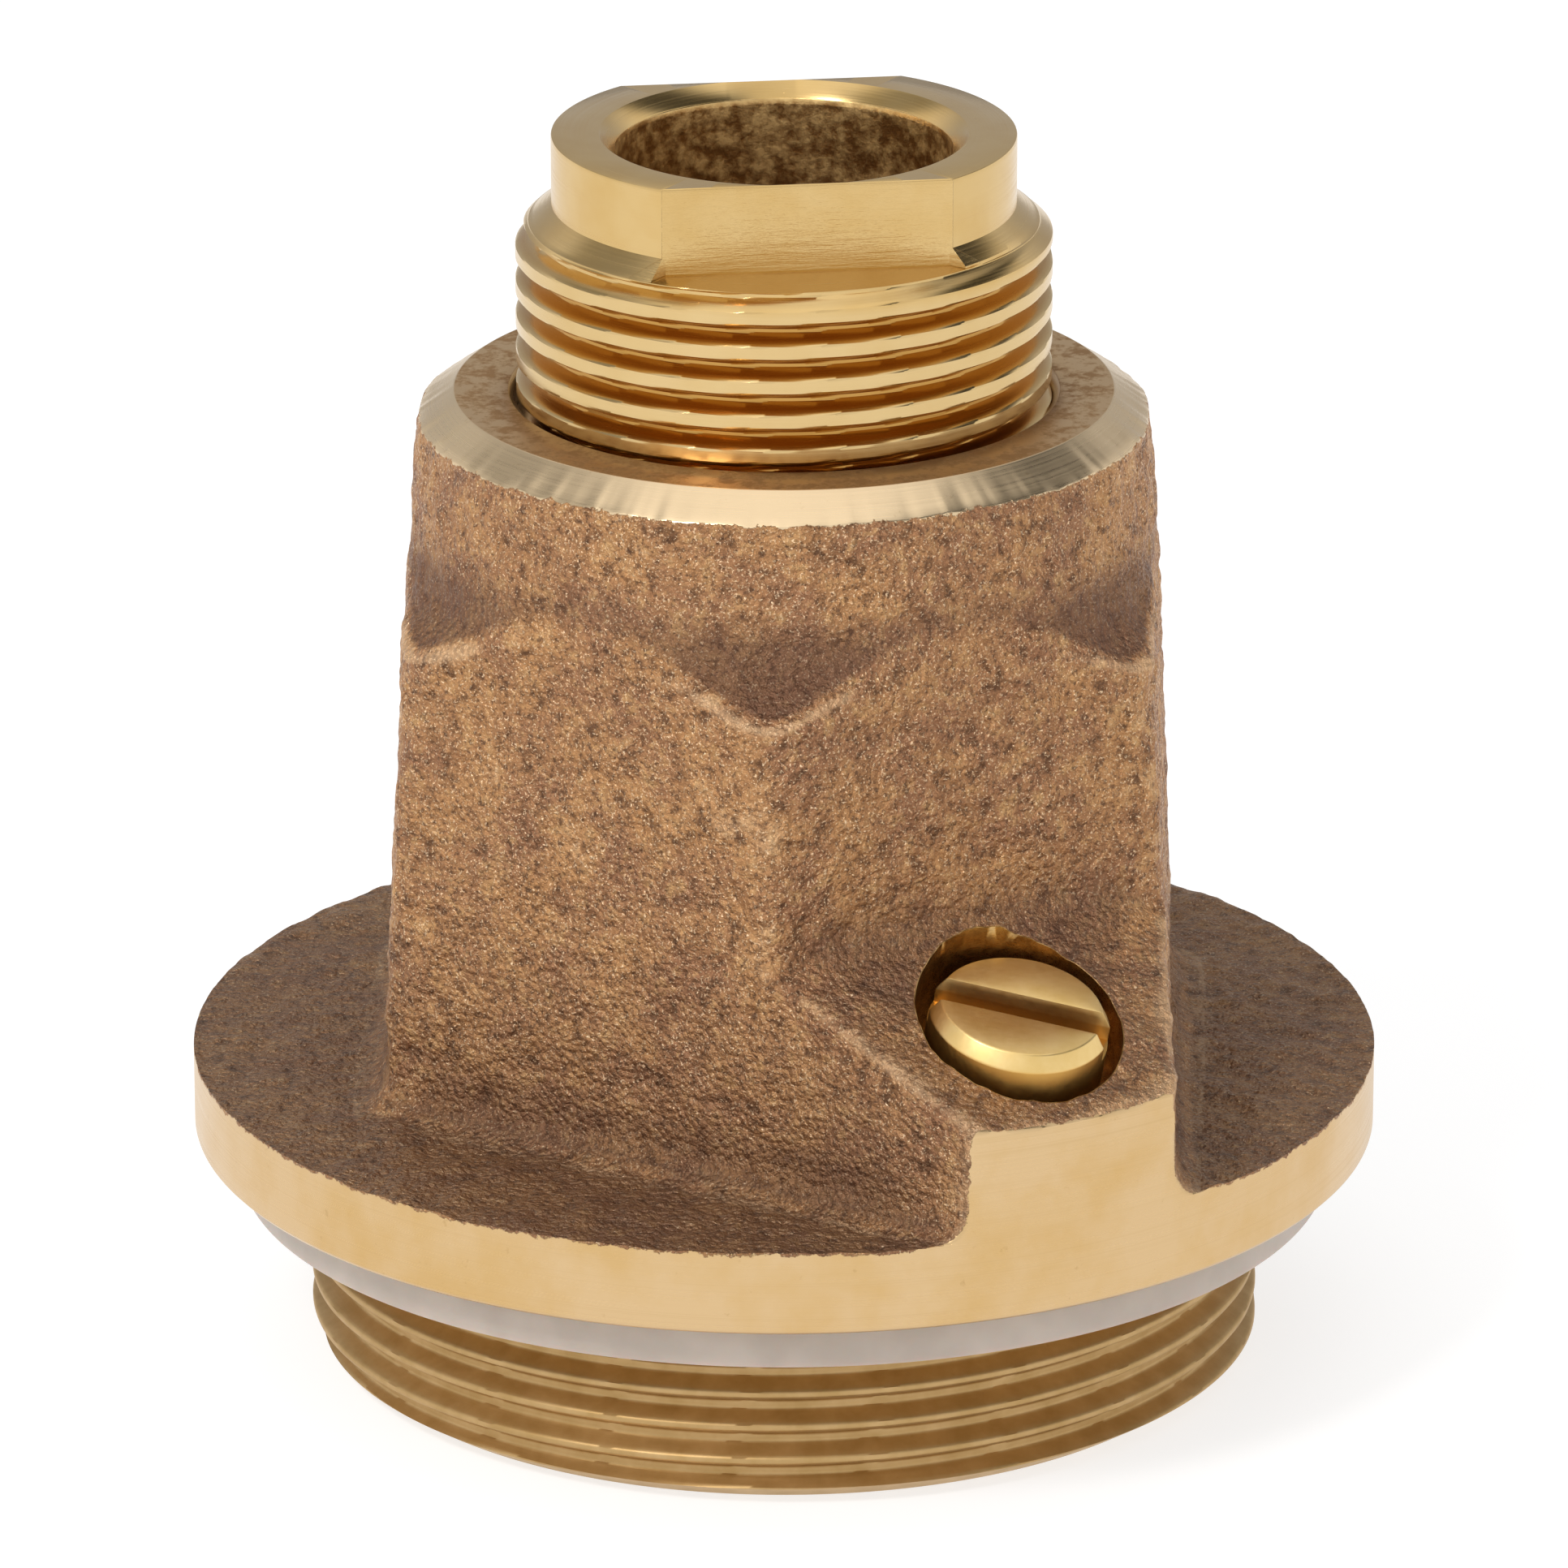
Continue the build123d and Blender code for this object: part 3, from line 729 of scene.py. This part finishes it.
def gasket_piece():
    outer = GASKET_HIGH[0]
    low, high = GASKET_LOW[2], GASKET_HIGH[2]
    corners = [(GASKET_BORE_R, low), (outer, low), (outer, high), (GASKET_BORE_R, high)]
    return lathe("gasket", corners, 360, 0.25)


def screw_piece():
    """Slotted cheese head with a chamfered top. Its small thread is drawn as plain rings."""
    seat, tip = -VENT_HEAD_H, -VENT_TIP
    profile = [(0, tip), (VENT_TIP_R, tip), (VENT_SHANK_R, tip + VENT_TIP_CHAMFER)]
    for turn in range(VENT_TURNS):
        base = tip + 2.0 + VENT_PITCH * turn
        profile += [(VENT_SHANK_R, base), (VENT_ROOT_R, base + 0.45), (VENT_SHANK_R, base + 0.9)]
    chamfer = -VENT_CHAMFER_DEPTH
    profile += [
        (VENT_NECK_R, -VENT_NECK_DEPTH), (VENT_NECK_R, seat),
        (VENT_HEAD_R - 0.1, seat), (VENT_HEAD_R, seat + 0.1),
        (VENT_HEAD_R, chamfer - 0.08), (VENT_HEAD_R - 0.02, chamfer),
        (VENT_HEAD_R - 0.08, chamfer + 0.08),
        (VENT_CHAMFER_R + 0.06, -0.08), (VENT_CHAMFER_R, -0.02), (VENT_CHAMFER_R - 0.1, 0),
        (0, 0),
    ]
    head = solid_rod("vent_plug", profile, 160)
    slot_h = 3.0
    slot = (VENT_SLOT_W, 2.5 * VENT_HEAD_R, slot_h)
    tool = box_mesh("slot_tool", slot, (0, 0, slot_h / 2 - VENT_SLOT_DEPTH))
    turn_about_z(tool, VENT_SLOT_TURN)
    cut(head, tool)
    soften(head, 0.05)
    return along_vent(head)


def box_mesh(name, size, middle):
    corners = [(x, y, z) for x in (-0.5, 0.5) for y in (-0.5, 0.5) for z in (-0.5, 0.5)]
    verts = [tuple(MM * (c * s + m) for c, s, m in zip(corner, size, middle)) for corner in corners]
    faces = [(0, 1, 3, 2), (4, 6, 7, 5), (0, 4, 5, 1), (2, 3, 7, 6), (0, 2, 6, 4), (1, 5, 7, 3)]
    mesh = bpy.data.meshes.new(name)
    mesh.from_pydata(verts, [], faces)
    obj = bpy.data.objects.new(name, mesh)
    bpy.context.scene.collection.objects.link(obj)
    return obj


def turn_about_z(piece, degrees):
    c, s = math.cos(math.radians(degrees)), math.sin(math.radians(degrees))
    for vertex in piece.data.vertices:
        x, y = vertex.co.x, vertex.co.y
        vertex.co.x, vertex.co.y = c * x - s * y, s * x + c * y


def soften(piece, width):
    """Small bevel on every sharp edge."""
    modifier = piece.modifiers.new("edges", "BEVEL")
    modifier.width = width * MM
    modifier.segments = 2
    modifier.limit_method = "ANGLE"
    modifier.angle_limit = math.radians(40)
    apply_modifiers(piece)
    piece.data.shade_smooth()
    piece.data.set_sharp_from_angle(angle=math.radians(35))


# ---- Materials ----------------------------------------------------------------------------

class Nodes:
    """Short calls for the nodes of one node tree."""

    def __init__(self, tree):
        self.tree = tree

    def node(self, kind, **settings):
        made = self.tree.nodes.new(kind)
        for key, value in settings.items():
            setattr(made, key, value)
        return made

    def feed(self, socket, value):
        if isinstance(value, bpy.types.NodeSocket):
            self.tree.links.new(value, socket)
        else:
            socket.default_value = value

    def vector(self, operation, a, b):
        made = self.node("ShaderNodeVectorMath", operation=operation)
        self.feed(made.inputs[0], a)
        self.feed(made.inputs[1], b)
        return made.outputs["Value" if operation == "DOT_PRODUCT" else "Vector"]

    def math(self, operation, a, b=0.0):
        made = self.node("ShaderNodeMath", operation=operation)
        self.feed(made.inputs[0], a)
        self.feed(made.inputs[1], b)
        return made.outputs[0]

    def times(self, a, b):
        return self.math("MULTIPLY", a, b)

    def plus(self, a, b):
        return self.math("ADD", a, b)

    def minus(self, a, b):
        return self.math("SUBTRACT", a, b)

    def span(self, value, low, high, to_low=0.0, to_high=1.0):
        """Maps low..high to to_low..to_high, clamped."""
        made = self.node("ShaderNodeMapRange", clamp=True)
        for socket, given in zip(made.inputs, (value, low, high, to_low, to_high)):
            self.feed(socket, given)
        return made.outputs[0]

    def band(self, value, low, high, soft):
        """1 between low and high, falling to 0 over soft on both sides."""
        rise = self.span(value, low - soft, low)
        return self.times(rise, self.span(value, high + soft, high))

    def noise(self, scale, detail=2.0, roughness=0.5, at=None, stretch=None):
        made = self.node("ShaderNodeTexNoise")
        where = self.position if at is None else at
        if stretch is not None:
            where = self.vector("MULTIPLY", where, stretch)
        self.feed(made.inputs["Vector"], where)
        made.inputs["Scale"].default_value = scale
        made.inputs["Detail"].default_value = detail
        made.inputs["Roughness"].default_value = roughness
        return made.outputs["Fac"]

    def cells(self, scale):
        """Distance from the nearest of a scatter of points."""
        made = self.node("ShaderNodeTexVoronoi", feature="F1")
        self.feed(made.inputs["Vector"], self.position)
        made.inputs["Scale"].default_value = scale
        return made.outputs["Distance"]

    def mix(self, share, a, b):
        """Colour a where share is 0, b where it is 1."""
        made = self.node("ShaderNodeMix", data_type="RGBA")
        self.feed(made.inputs[0], share)
        for socket, value in ((made.inputs[6], a), (made.inputs[7], b)):
            self.feed(socket, (*value, 1.0) if isinstance(value, tuple) else value)
        return made.outputs[2]

    def blend(self, share, a, b):
        """Number a where share is 0, b where it is 1."""
        made = self.node("ShaderNodeMix", data_type="FLOAT")
        self.feed(made.inputs[0], share)
        self.feed(made.inputs[2], a)
        self.feed(made.inputs[3], b)
        return made.outputs[0]

    def field(self, name):
        return self.node("ShaderNodeAttribute", attribute_name=name).outputs["Fac"]

    def cylindrical(self):
        """Radius, angle and height about the shaft axis: as one vector, then each alone."""
        parts = self.node("ShaderNodeSeparateXYZ")
        self.feed(parts.inputs[0], self.position)
        x, y, z = parts.outputs
        radius = self.math("SQRT", self.plus(self.times(x, x), self.times(y, y)))
        angle = self.math("ARCTAN2", x, self.times(y, -1.0))
        joined = self.node("ShaderNodeCombineXYZ")
        for socket, value in zip(joined.inputs, (radius, angle, z)):
            self.feed(socket, value)
        return joined.outputs[0], radius, angle, z

    def vent_place(self):
        """Height over the vent screw's face along its axis, and distance from that axis."""
        middle, above = vent_points(np.array([[0, 0, 0], [0, 0, 1.0]]))
        offset = self.vector("SUBTRACT", self.position, tuple(middle))
        along = self.vector("DOT_PRODUCT", offset, tuple(above - middle))
        squared = self.vector("DOT_PRODUCT", offset, offset)
        beside = self.minus(squared, self.times(along, along))
        return along, self.math("SQRT", self.math("MAXIMUM", beside, 0.0))

    def bump(self, height, distance, strength=1.0, over=None):
        made = self.node("ShaderNodeBump")
        made.inputs["Strength"].default_value = strength
        made.inputs["Distance"].default_value = distance * MM
        self.feed(made.inputs["Height"], height)
        if over is not None:
            self.feed(made.inputs["Normal"], over)
        return made.outputs["Normal"]


class Shader(Nodes):
    """A material with one Principled shader."""

    def __init__(self, name, **constants):
        self.material = bpy.data.materials.new(name)
        self.material.use_nodes = True
        super().__init__(self.material.node_tree)
        self.surface = self.tree.nodes["Principled BSDF"]
        for key, value in constants.items():
            self.surface.inputs[key.replace("_", " ")].default_value = value
        place = self.node("ShaderNodeTexCoord").outputs["Object"]
        per_mm = 1 / MM
        self.position = self.vector("MULTIPLY", place, (per_mm, per_mm, per_mm))

    def finish(self, colour=None, roughness=None, metallic=None, normal=None):
        given = {
            "Base Color": colour, "Roughness": roughness, "Metallic": metallic, "Normal": normal,
        }
        for socket, value in given.items():
            if value is not None:
                self.feed(self.surface.inputs[socket], value)
        return self.material


def cast_skin(s, height, mottle, grain, fine):
    """Colour of the sand-cast skin, with painted glints, painted highlights and painted shade."""
    patch = s.noise(0.22, 3.0, 0.55)
    skin = s.mix(s.span(patch, 0.38, 0.62), (0.36, 0.178, 0.09), (0.50, 0.262, 0.112))
    skin = s.mix(s.span(mottle, 0.47, 0.34, 0.0, 0.9), skin, (0.15, 0.072, 0.036))
    skin = s.mix(s.span(mottle, 0.52, 0.70, 0.0, 0.8), skin, (0.62, 0.37, 0.16))
    skin = s.mix(s.span(grain, 0.47, 0.34, 0.0, 0.8), skin, (0.13, 0.065, 0.036))
    # Painted glints: bright specks on the grain stand in for light catching it.
    skin = s.mix(s.span(fine, 0.57, 0.70, 0.0, 0.8), skin, (1.0, 0.74, 0.47))

    # Edges are rubbed bright in patches, partly wear and partly painted highlight, and coves get
    # painted shade.
    uneven = s.times(s.minus(mottle, 0.5), 0.6)
    patchy = s.times(s.minus(patch, 0.5), 1.2)
    worn = s.span(s.plus(s.field("edge"), s.plus(uneven, patchy)), 0.16, 0.5)
    skin = s.mix(s.times(worn, 0.55), skin, (0.75, 0.50, 0.29))
    # Painted shade: darker colour in small coves.
    sunk = s.span(s.minus(uneven, s.field("edge")), 0.08, 0.45)
    skin = s.mix(s.times(sunk, 0.6), skin, (0.13, 0.08, 0.06))
    # Painted shade: darker colour in the larger hollows and in the sunk shelf's cove.
    shade = s.span(s.field("hollow"), 0.15, 1.1)
    skin = s.mix(s.times(shade, 0.66), skin, (0.14, 0.07, 0.045))

    # Painted shade darkens the skin towards the foot and on what faces up.
    foot_shade = s.span(s.plus(height, s.times(uneven, 14.0)), 35.0, 19.0, 0.0, 0.3)
    skin = s.mix(foot_shade, skin, (0.155, 0.085, 0.05))
    # Painted shade: faces that point up are darkened.
    facing = s.node("ShaderNodeSeparateXYZ")
    s.feed(facing.inputs[0], s.node("ShaderNodeNewGeometry").outputs["Normal"])
    level = s.span(facing.outputs[2], 0.75, 0.97)
    return s.mix(s.times(level, 0.37), skin, (0.10, 0.08, 0.065))


def machined_bronze(s, radius, height, turned):
    """Colour and roughness of the casting's machined faces."""
    stain = s.noise(0.16, 4.0, 0.6)
    bright = s.mix(s.span(stain, 0.4, 0.75), (0.67, 0.47, 0.25), (0.62, 0.40, 0.16))
    bright = s.mix(s.span(turned, 0.55, 0.8, 0.0, 0.35), bright, (0.54, 0.36, 0.16))

    # The spigot's thread is duller than the rim.
    over_thread = s.span(height, FLANGE_Z0 - 0.1, FLANGE_Z0)
    tarnish = s.span(s.noise(0.5, 3.0, 0.6), 0.35, 0.7)
    dull = s.mix(tarnish, (0.47, 0.305, 0.125), (0.56, 0.38, 0.18))
    bright = s.mix(over_thread, dull, bright)
    on_chamfer = s.span(height, CHAMFER_Z - 1.5, CHAMFER_Z - 0.5)
    bright = s.mix(on_chamfer, bright, (0.76, 0.58, 0.36))

    # The top ring holds dirt, and old drops have spotted every face.
    inside_edge = s.span(radius, TOP_R, TOP_R - 0.05)
    on_top = s.times(s.span(height, TOP_Z - 0.06, TOP_Z - 0.03), inside_edge)
    dirt = s.span(s.noise(0.8, 5.0, 0.7), 0.46, 0.6)
    bright = s.mix(on_top, bright, s.mix(dirt, (0.56, 0.38, 0.20), (0.36, 0.21, 0.09)))
    spots = s.span(s.noise(0.9, 4.0, 0.7), 0.66, 0.74, 0.0, 0.4)
    bright = s.mix(spots, bright, (0.42, 0.25, 0.09))

    roughness = s.blend(over_thread, 0.5, s.span(turned, 0.3, 0.7, 0.24, 0.36))
    return bright, s.blend(on_top, roughness, s.blend(dirt, 0.4, 0.6))


def casting_material():
    """Sand-cast bronze, with bright machined faces where the cast field is below zero."""
    s = Shader("cast_bronze")
    rings, radius, _, height = s.cylindrical()
    mottle = s.noise(0.85, 4.0, 0.68)
    grain = s.noise(2.6, 3.0, 0.65)
    fine = s.noise(6.5, 2.0, 0.6)
    turned = s.noise(1.0, 4.0, 0.65, at=rings, stretch=(9.0, 0.5, 9.0))

    along, away = s.vent_place()
    in_counterbore = s.span(away, VENT_SEAT_R + 0.06, VENT_SEAT_R + 0.02)
    in_counterbore = s.times(in_counterbore, s.span(along, -6.5, -6.0))
    ragged = s.minus(s.noise(1.3, 4.0, 0.65), 0.5)
    depth = s.plus(s.field("cast"), s.times(ragged, 1.1))
    is_cast = s.times(s.span(depth, -0.02, 0.03), s.minus(1.0, in_counterbore))

    skin = cast_skin(s, height, mottle, grain, fine)
    bright, bright_rough = machined_bronze(s, radius, height, turned)
    # Darker mottled colour in the counterbore.
    counterbore_tone = s.mix(s.span(mottle, 0.4, 0.62), (0.34, 0.20, 0.075), (0.62, 0.40, 0.16))
    colour = s.mix(in_counterbore, s.mix(is_cast, bright, skin), counterbore_tone)
    roughness = s.blend(is_cast, bright_rough, s.span(fine, 0.45, 0.72, 0.55, 0.3))
    metallic = s.blend(is_cast, 1.0, 0.85)

    lump = s.minus(s.times(mottle, 0.35), s.times(s.cells(2.3), 0.55))
    lump = s.plus(lump, s.plus(s.times(grain, 0.45), s.times(fine, 0.35)))
    normal = s.bump(s.times(lump, is_cast), 0.42, 1.0)
    normal = s.bump(s.times(turned, s.minus(1.0, is_cast)), 0.010, 0.6, over=normal)
    return s.finish(colour, roughness, metallic, normal)


def brass_material():
    """Turned brass sleeve: bright, with fine tool lines, milled flats and a tarnished bore."""
    s = Shader("brass", Metallic=1.0)
    rings, radius, _, height = s.cylindrical()
    turned = s.noise(1.0, 4.0, 0.6, at=rings, stretch=(8.0, 0.35, 8.0))
    cloud = s.noise(0.22, 3.0, 0.55)
    colour = s.mix(s.span(cloud, 0.4, 0.7), (0.66, 0.46, 0.20), (0.62, 0.41, 0.155))

    # Painted shade darkens the thread's grooves and a painted highlight lightens its crests.
    below_cone = s.span(height, SLEEVE_CONE_Z0 - 0.1, SLEEVE_CONE_Z0 - 0.6)
    groove = s.times(s.span(radius, SLEEVE_R - 0.06, SLEEVE_R - 0.5), below_cone)
    colour = s.mix(s.times(groove, 0.8), colour, (0.46, 0.23, 0.045))
    crest = s.times(s.span(radius, SLEEVE_R - 0.2, SLEEVE_R - 0.05), below_cone)
    colour = s.mix(s.times(crest, 0.35), colour, (0.72, 0.55, 0.30))

    grime = s.noise(0.9, 4.0, 0.65)
    tarnish = s.mix(s.span(grime, 0.4, 0.62), (0.42, 0.24, 0.09), (0.80, 0.56, 0.25))
    inside = s.span(s.field("inner"), 0.7, 0.95)
    colour = s.mix(inside, colour, tarnish)
    bright_rough = s.span(turned, 0.3, 0.7, 0.16, 0.28)
    roughness = s.blend(inside, bright_rough, s.span(grime, 0.4, 0.7, 0.35, 0.55))

    turn = math.radians(FLAT_AZIMUTH)
    facing = (math.sin(turn), -math.cos(turn), 0.0)
    from_middle = s.math("ABSOLUTE", s.vector("DOT_PRODUCT", s.position, facing))
    milled = s.span(from_middle, FLAT_OFFSET - 0.03, FLAT_OFFSET - 0.01)
    milled = s.times(milled, s.span(height, FLAT_Z0, FLAT_Z0 + 0.1))
    marks = s.noise(1.0, 4.0, 0.7, stretch=(0.3, 0.3, 4.5))
    normal = s.bump(turned, 0.008, 0.5)
    normal = s.bump(s.times(marks, milled), 0.05, 0.8, over=normal)
    normal = s.bump(s.times(grime, inside), 0.15, 0.6, over=normal)
    return s.finish(colour, roughness, None, normal)


def screw_material():
    """Brass, browner on the head's side and in its slot than on its face."""
    s = Shader("screw_brass", Metallic=1.0)
    cloud = s.noise(0.5, 4.0, 0.6)
    scratch = s.noise(2.0, 4.0, 0.6, stretch=(1.0, 3.0, 1.0))
    colour = s.mix(s.span(cloud, 0.35, 0.7), (0.86, 0.63, 0.28), (0.78, 0.54, 0.20))
    along, away = s.vent_place()
    on_side = s.span(along, 0.05 - VENT_CHAMFER_DEPTH, -0.1 - VENT_CHAMFER_DEPTH, 0.0, 0.9)
    colour = s.mix(on_side, colour, (0.62, 0.34, 0.08))
    in_slot = s.span(away, VENT_HEAD_R - 0.5, VENT_HEAD_R - 0.9)
    in_slot = s.times(s.span(along, -0.1, -0.4), in_slot)
    colour = s.mix(s.times(in_slot, 0.6), colour, (0.30, 0.17, 0.06))
    roughness = s.span(scratch, 0.3, 0.7, 0.34, 0.44)
    return s.finish(colour, roughness, None, s.bump(scratch, 0.006, 0.4))


def gasket_material():
    """Pale translucent plastic."""
    s = Shader(
        "gasket", Roughness=0.42, Subsurface_Weight=0.35, Subsurface_Scale=0.0012,
        Specular_IOR_Level=0.4,
    )
    cloud = s.noise(0.3, 3.0, 0.5)
    colour = s.mix(s.span(cloud, 0.35, 0.7), (0.44, 0.375, 0.32), (0.50, 0.43, 0.37))
    return s.finish(colour, None, None, s.bump(s.noise(2.5, 2.0), 0.02, 0.4))


def bearing_material():
    s = Shader("bearing_bronze", Metallic=1.0)
    rings = s.cylindrical()[0]
    turned = s.noise(1.0, 3.0, 0.6, at=rings, stretch=(7.0, 0.4, 7.0))
    colour = s.mix(s.span(turned, 0.35, 0.7), (0.62, 0.40, 0.20), (0.70, 0.48, 0.26))
    return s.finish(colour, s.span(turned, 0.3, 0.7, 0.25, 0.4), None, s.bump(turned, 0.01, 0.5))


def packing_material():
    """Greased square braid: two crossing sets of diagonal strands."""
    s = Shader("packing", Roughness=0.75)
    _, _, angle, height = s.cylindrical()
    across = s.times(angle, 40.0)
    first = s.math("SINE", s.plus(across, s.times(height, 3.2)))
    second = s.math("SINE", s.minus(across, s.times(height, 3.2)))
    braid = s.math("MAXIMUM", first, second)
    colour = s.mix(s.span(braid, -0.2, 1.0), (0.24, 0.19, 0.11), (0.62, 0.54, 0.38))
    return s.finish(colour, None, None, s.bump(braid, 0.2, 0.8))


def wire_material():
    s = Shader("spring_wire", Metallic=1.0)
    drawn = s.noise(3.0, 3.0, 0.6)
    colour = s.mix(s.span(drawn, 0.35, 0.7), (0.50, 0.50, 0.51), (0.62, 0.62, 0.62))
    return s.finish(colour, s.span(drawn, 0.3, 0.7, 0.22, 0.36), None, s.bump(drawn, 0.01, 0.4))


def seal_material():
    s = Shader("seal", Specular_IOR_Level=0.4)
    speck = s.noise(3.0, 3.0, 0.6)
    colour = s.mix(s.span(speck, 0.35, 0.7), (0.022, 0.021, 0.020), (0.040, 0.037, 0.034))
    return s.finish(colour, s.span(speck, 0.3, 0.7, 0.5, 0.66), None, s.bump(speck, 0.03, 0.4))


# ---- Stage --------------------------------------------------------------------------------

def add_camera():
    camera = bpy.data.objects.new("camera", bpy.data.cameras.new("camera"))
    bpy.context.scene.collection.objects.link(camera)
    elevation = math.radians(CAMERA_ELEVATION)
    target = Vector((0, 0, CAMERA_TARGET_Z * MM))
    back = Vector((0, -math.cos(elevation), math.sin(elevation)))
    camera.location = target + back * CAMERA_DISTANCE * MM
    camera.rotation_euler = (math.radians(90) - elevation, 0, 0)
    camera.data.lens = CAMERA_LENS
    camera.data.sensor_width = 36
    camera.data.clip_start = 0.01
    camera.data.dof.use_dof = False
    bpy.context.scene.camera = camera


def add_floor():
    """Pale floor that glows a little, as a lit white sweep does."""
    bpy.ops.mesh.primitive_plane_add(size=6, location=(0, 0, -0.00005))
    floor = bpy.context.object
    floor.name = "floor"
    s = Shader("floor", Roughness=0.9, Specular_IOR_Level=0.1, Emission_Strength=0.72)
    s.surface.inputs["Emission Color"].default_value = (1, 1, 1, 1)
    colour = s.mix(s.noise(0.002, 2.0), (0.36, 0.36, 0.36), (0.40, 0.40, 0.40))
    floor.data.materials.append(s.finish(colour))


def add_surround():
    """White studio all round, with a bright ceiling, a dim back wall and a dark gap between."""
    world = bpy.data.worlds.new("surround")
    world.use_nodes = True
    bpy.context.scene.world = world
    w = Nodes(world.node_tree)
    parts = w.node("ShaderNodeSeparateXYZ")
    w.feed(parts.inputs[0], w.node("ShaderNodeTexCoord").outputs["Generated"])
    right, back, up = parts.outputs
    behind = w.span(back, 0.55, 0.85)
    low = w.blend(behind, 1.0, 0.5)
    high = w.band(up, 0.58, 0.8, 0.1)
    light = w.blend(w.times(high, w.span(right, 0.25, 0.42)), low, 0.06)
    light = w.blend(w.times(high, w.span(right, -0.25, -0.42)), light, 0.35)
    light = w.blend(w.span(up, 0.86, 0.95), light, 1.25)
    background = world.node_tree.nodes["Background"]
    w.feed(background.inputs["Strength"], light)
    background.inputs["Color"].default_value = (1, 1, 1, 1)


def soft_light(name, place, size, power):
    lamp = bpy.data.lights.new(name, "AREA")
    lamp.size = size
    lamp.energy = power
    obj = bpy.data.objects.new(name, lamp)
    bpy.context.scene.collection.objects.link(obj)
    obj.location = place
    toward = Vector((0, 0, 0.035)) - Vector(place)
    obj.rotation_euler = toward.to_track_quat("-Z", "Y").to_euler()


# ---- Assembly -----------------------------------------------------------------------------

def dress(piece, body, material, slot, *replaced):
    """Gives a new piece its material and its body, and hides the CAD nodes that it replaces."""
    piece.data.materials.clear()
    piece.data.materials.append(material)
    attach(piece, body)
    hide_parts(*replaced)


def repaint(nodes, material):
    for name in nodes:
        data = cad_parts[name].data
        data.materials.clear()
        data.materials.append(material)


add_camera()
add_floor()
add_surround()
soft_light("key", (-0.45, -0.6, 0.8), 0.22, 4.4)
bpy.context.scene.view_settings.view_transform = "Standard"

dress(housing_casting(), "housing", casting_material(), "cast_bronze", "gland_housing")
dress(sleeve_piece(), "sleeve", brass_material(), "brass", "gland_sleeve")
dress(gasket_piece(), "housing", gasket_material(), "gasket", "flange_gasket")
dress(screw_piece(), "vent", screw_material(), "screw_brass", "vent_screw")

repaint(["neck_bush", "gland_follower"], bearing_material())
repaint([f"packing_ring_{k}" for k in (1, 2, 3, 4)], packing_material())
repaint(["follower_snap_ring"], wire_material())
repaint(["vent_screw_seal"], seal_material())
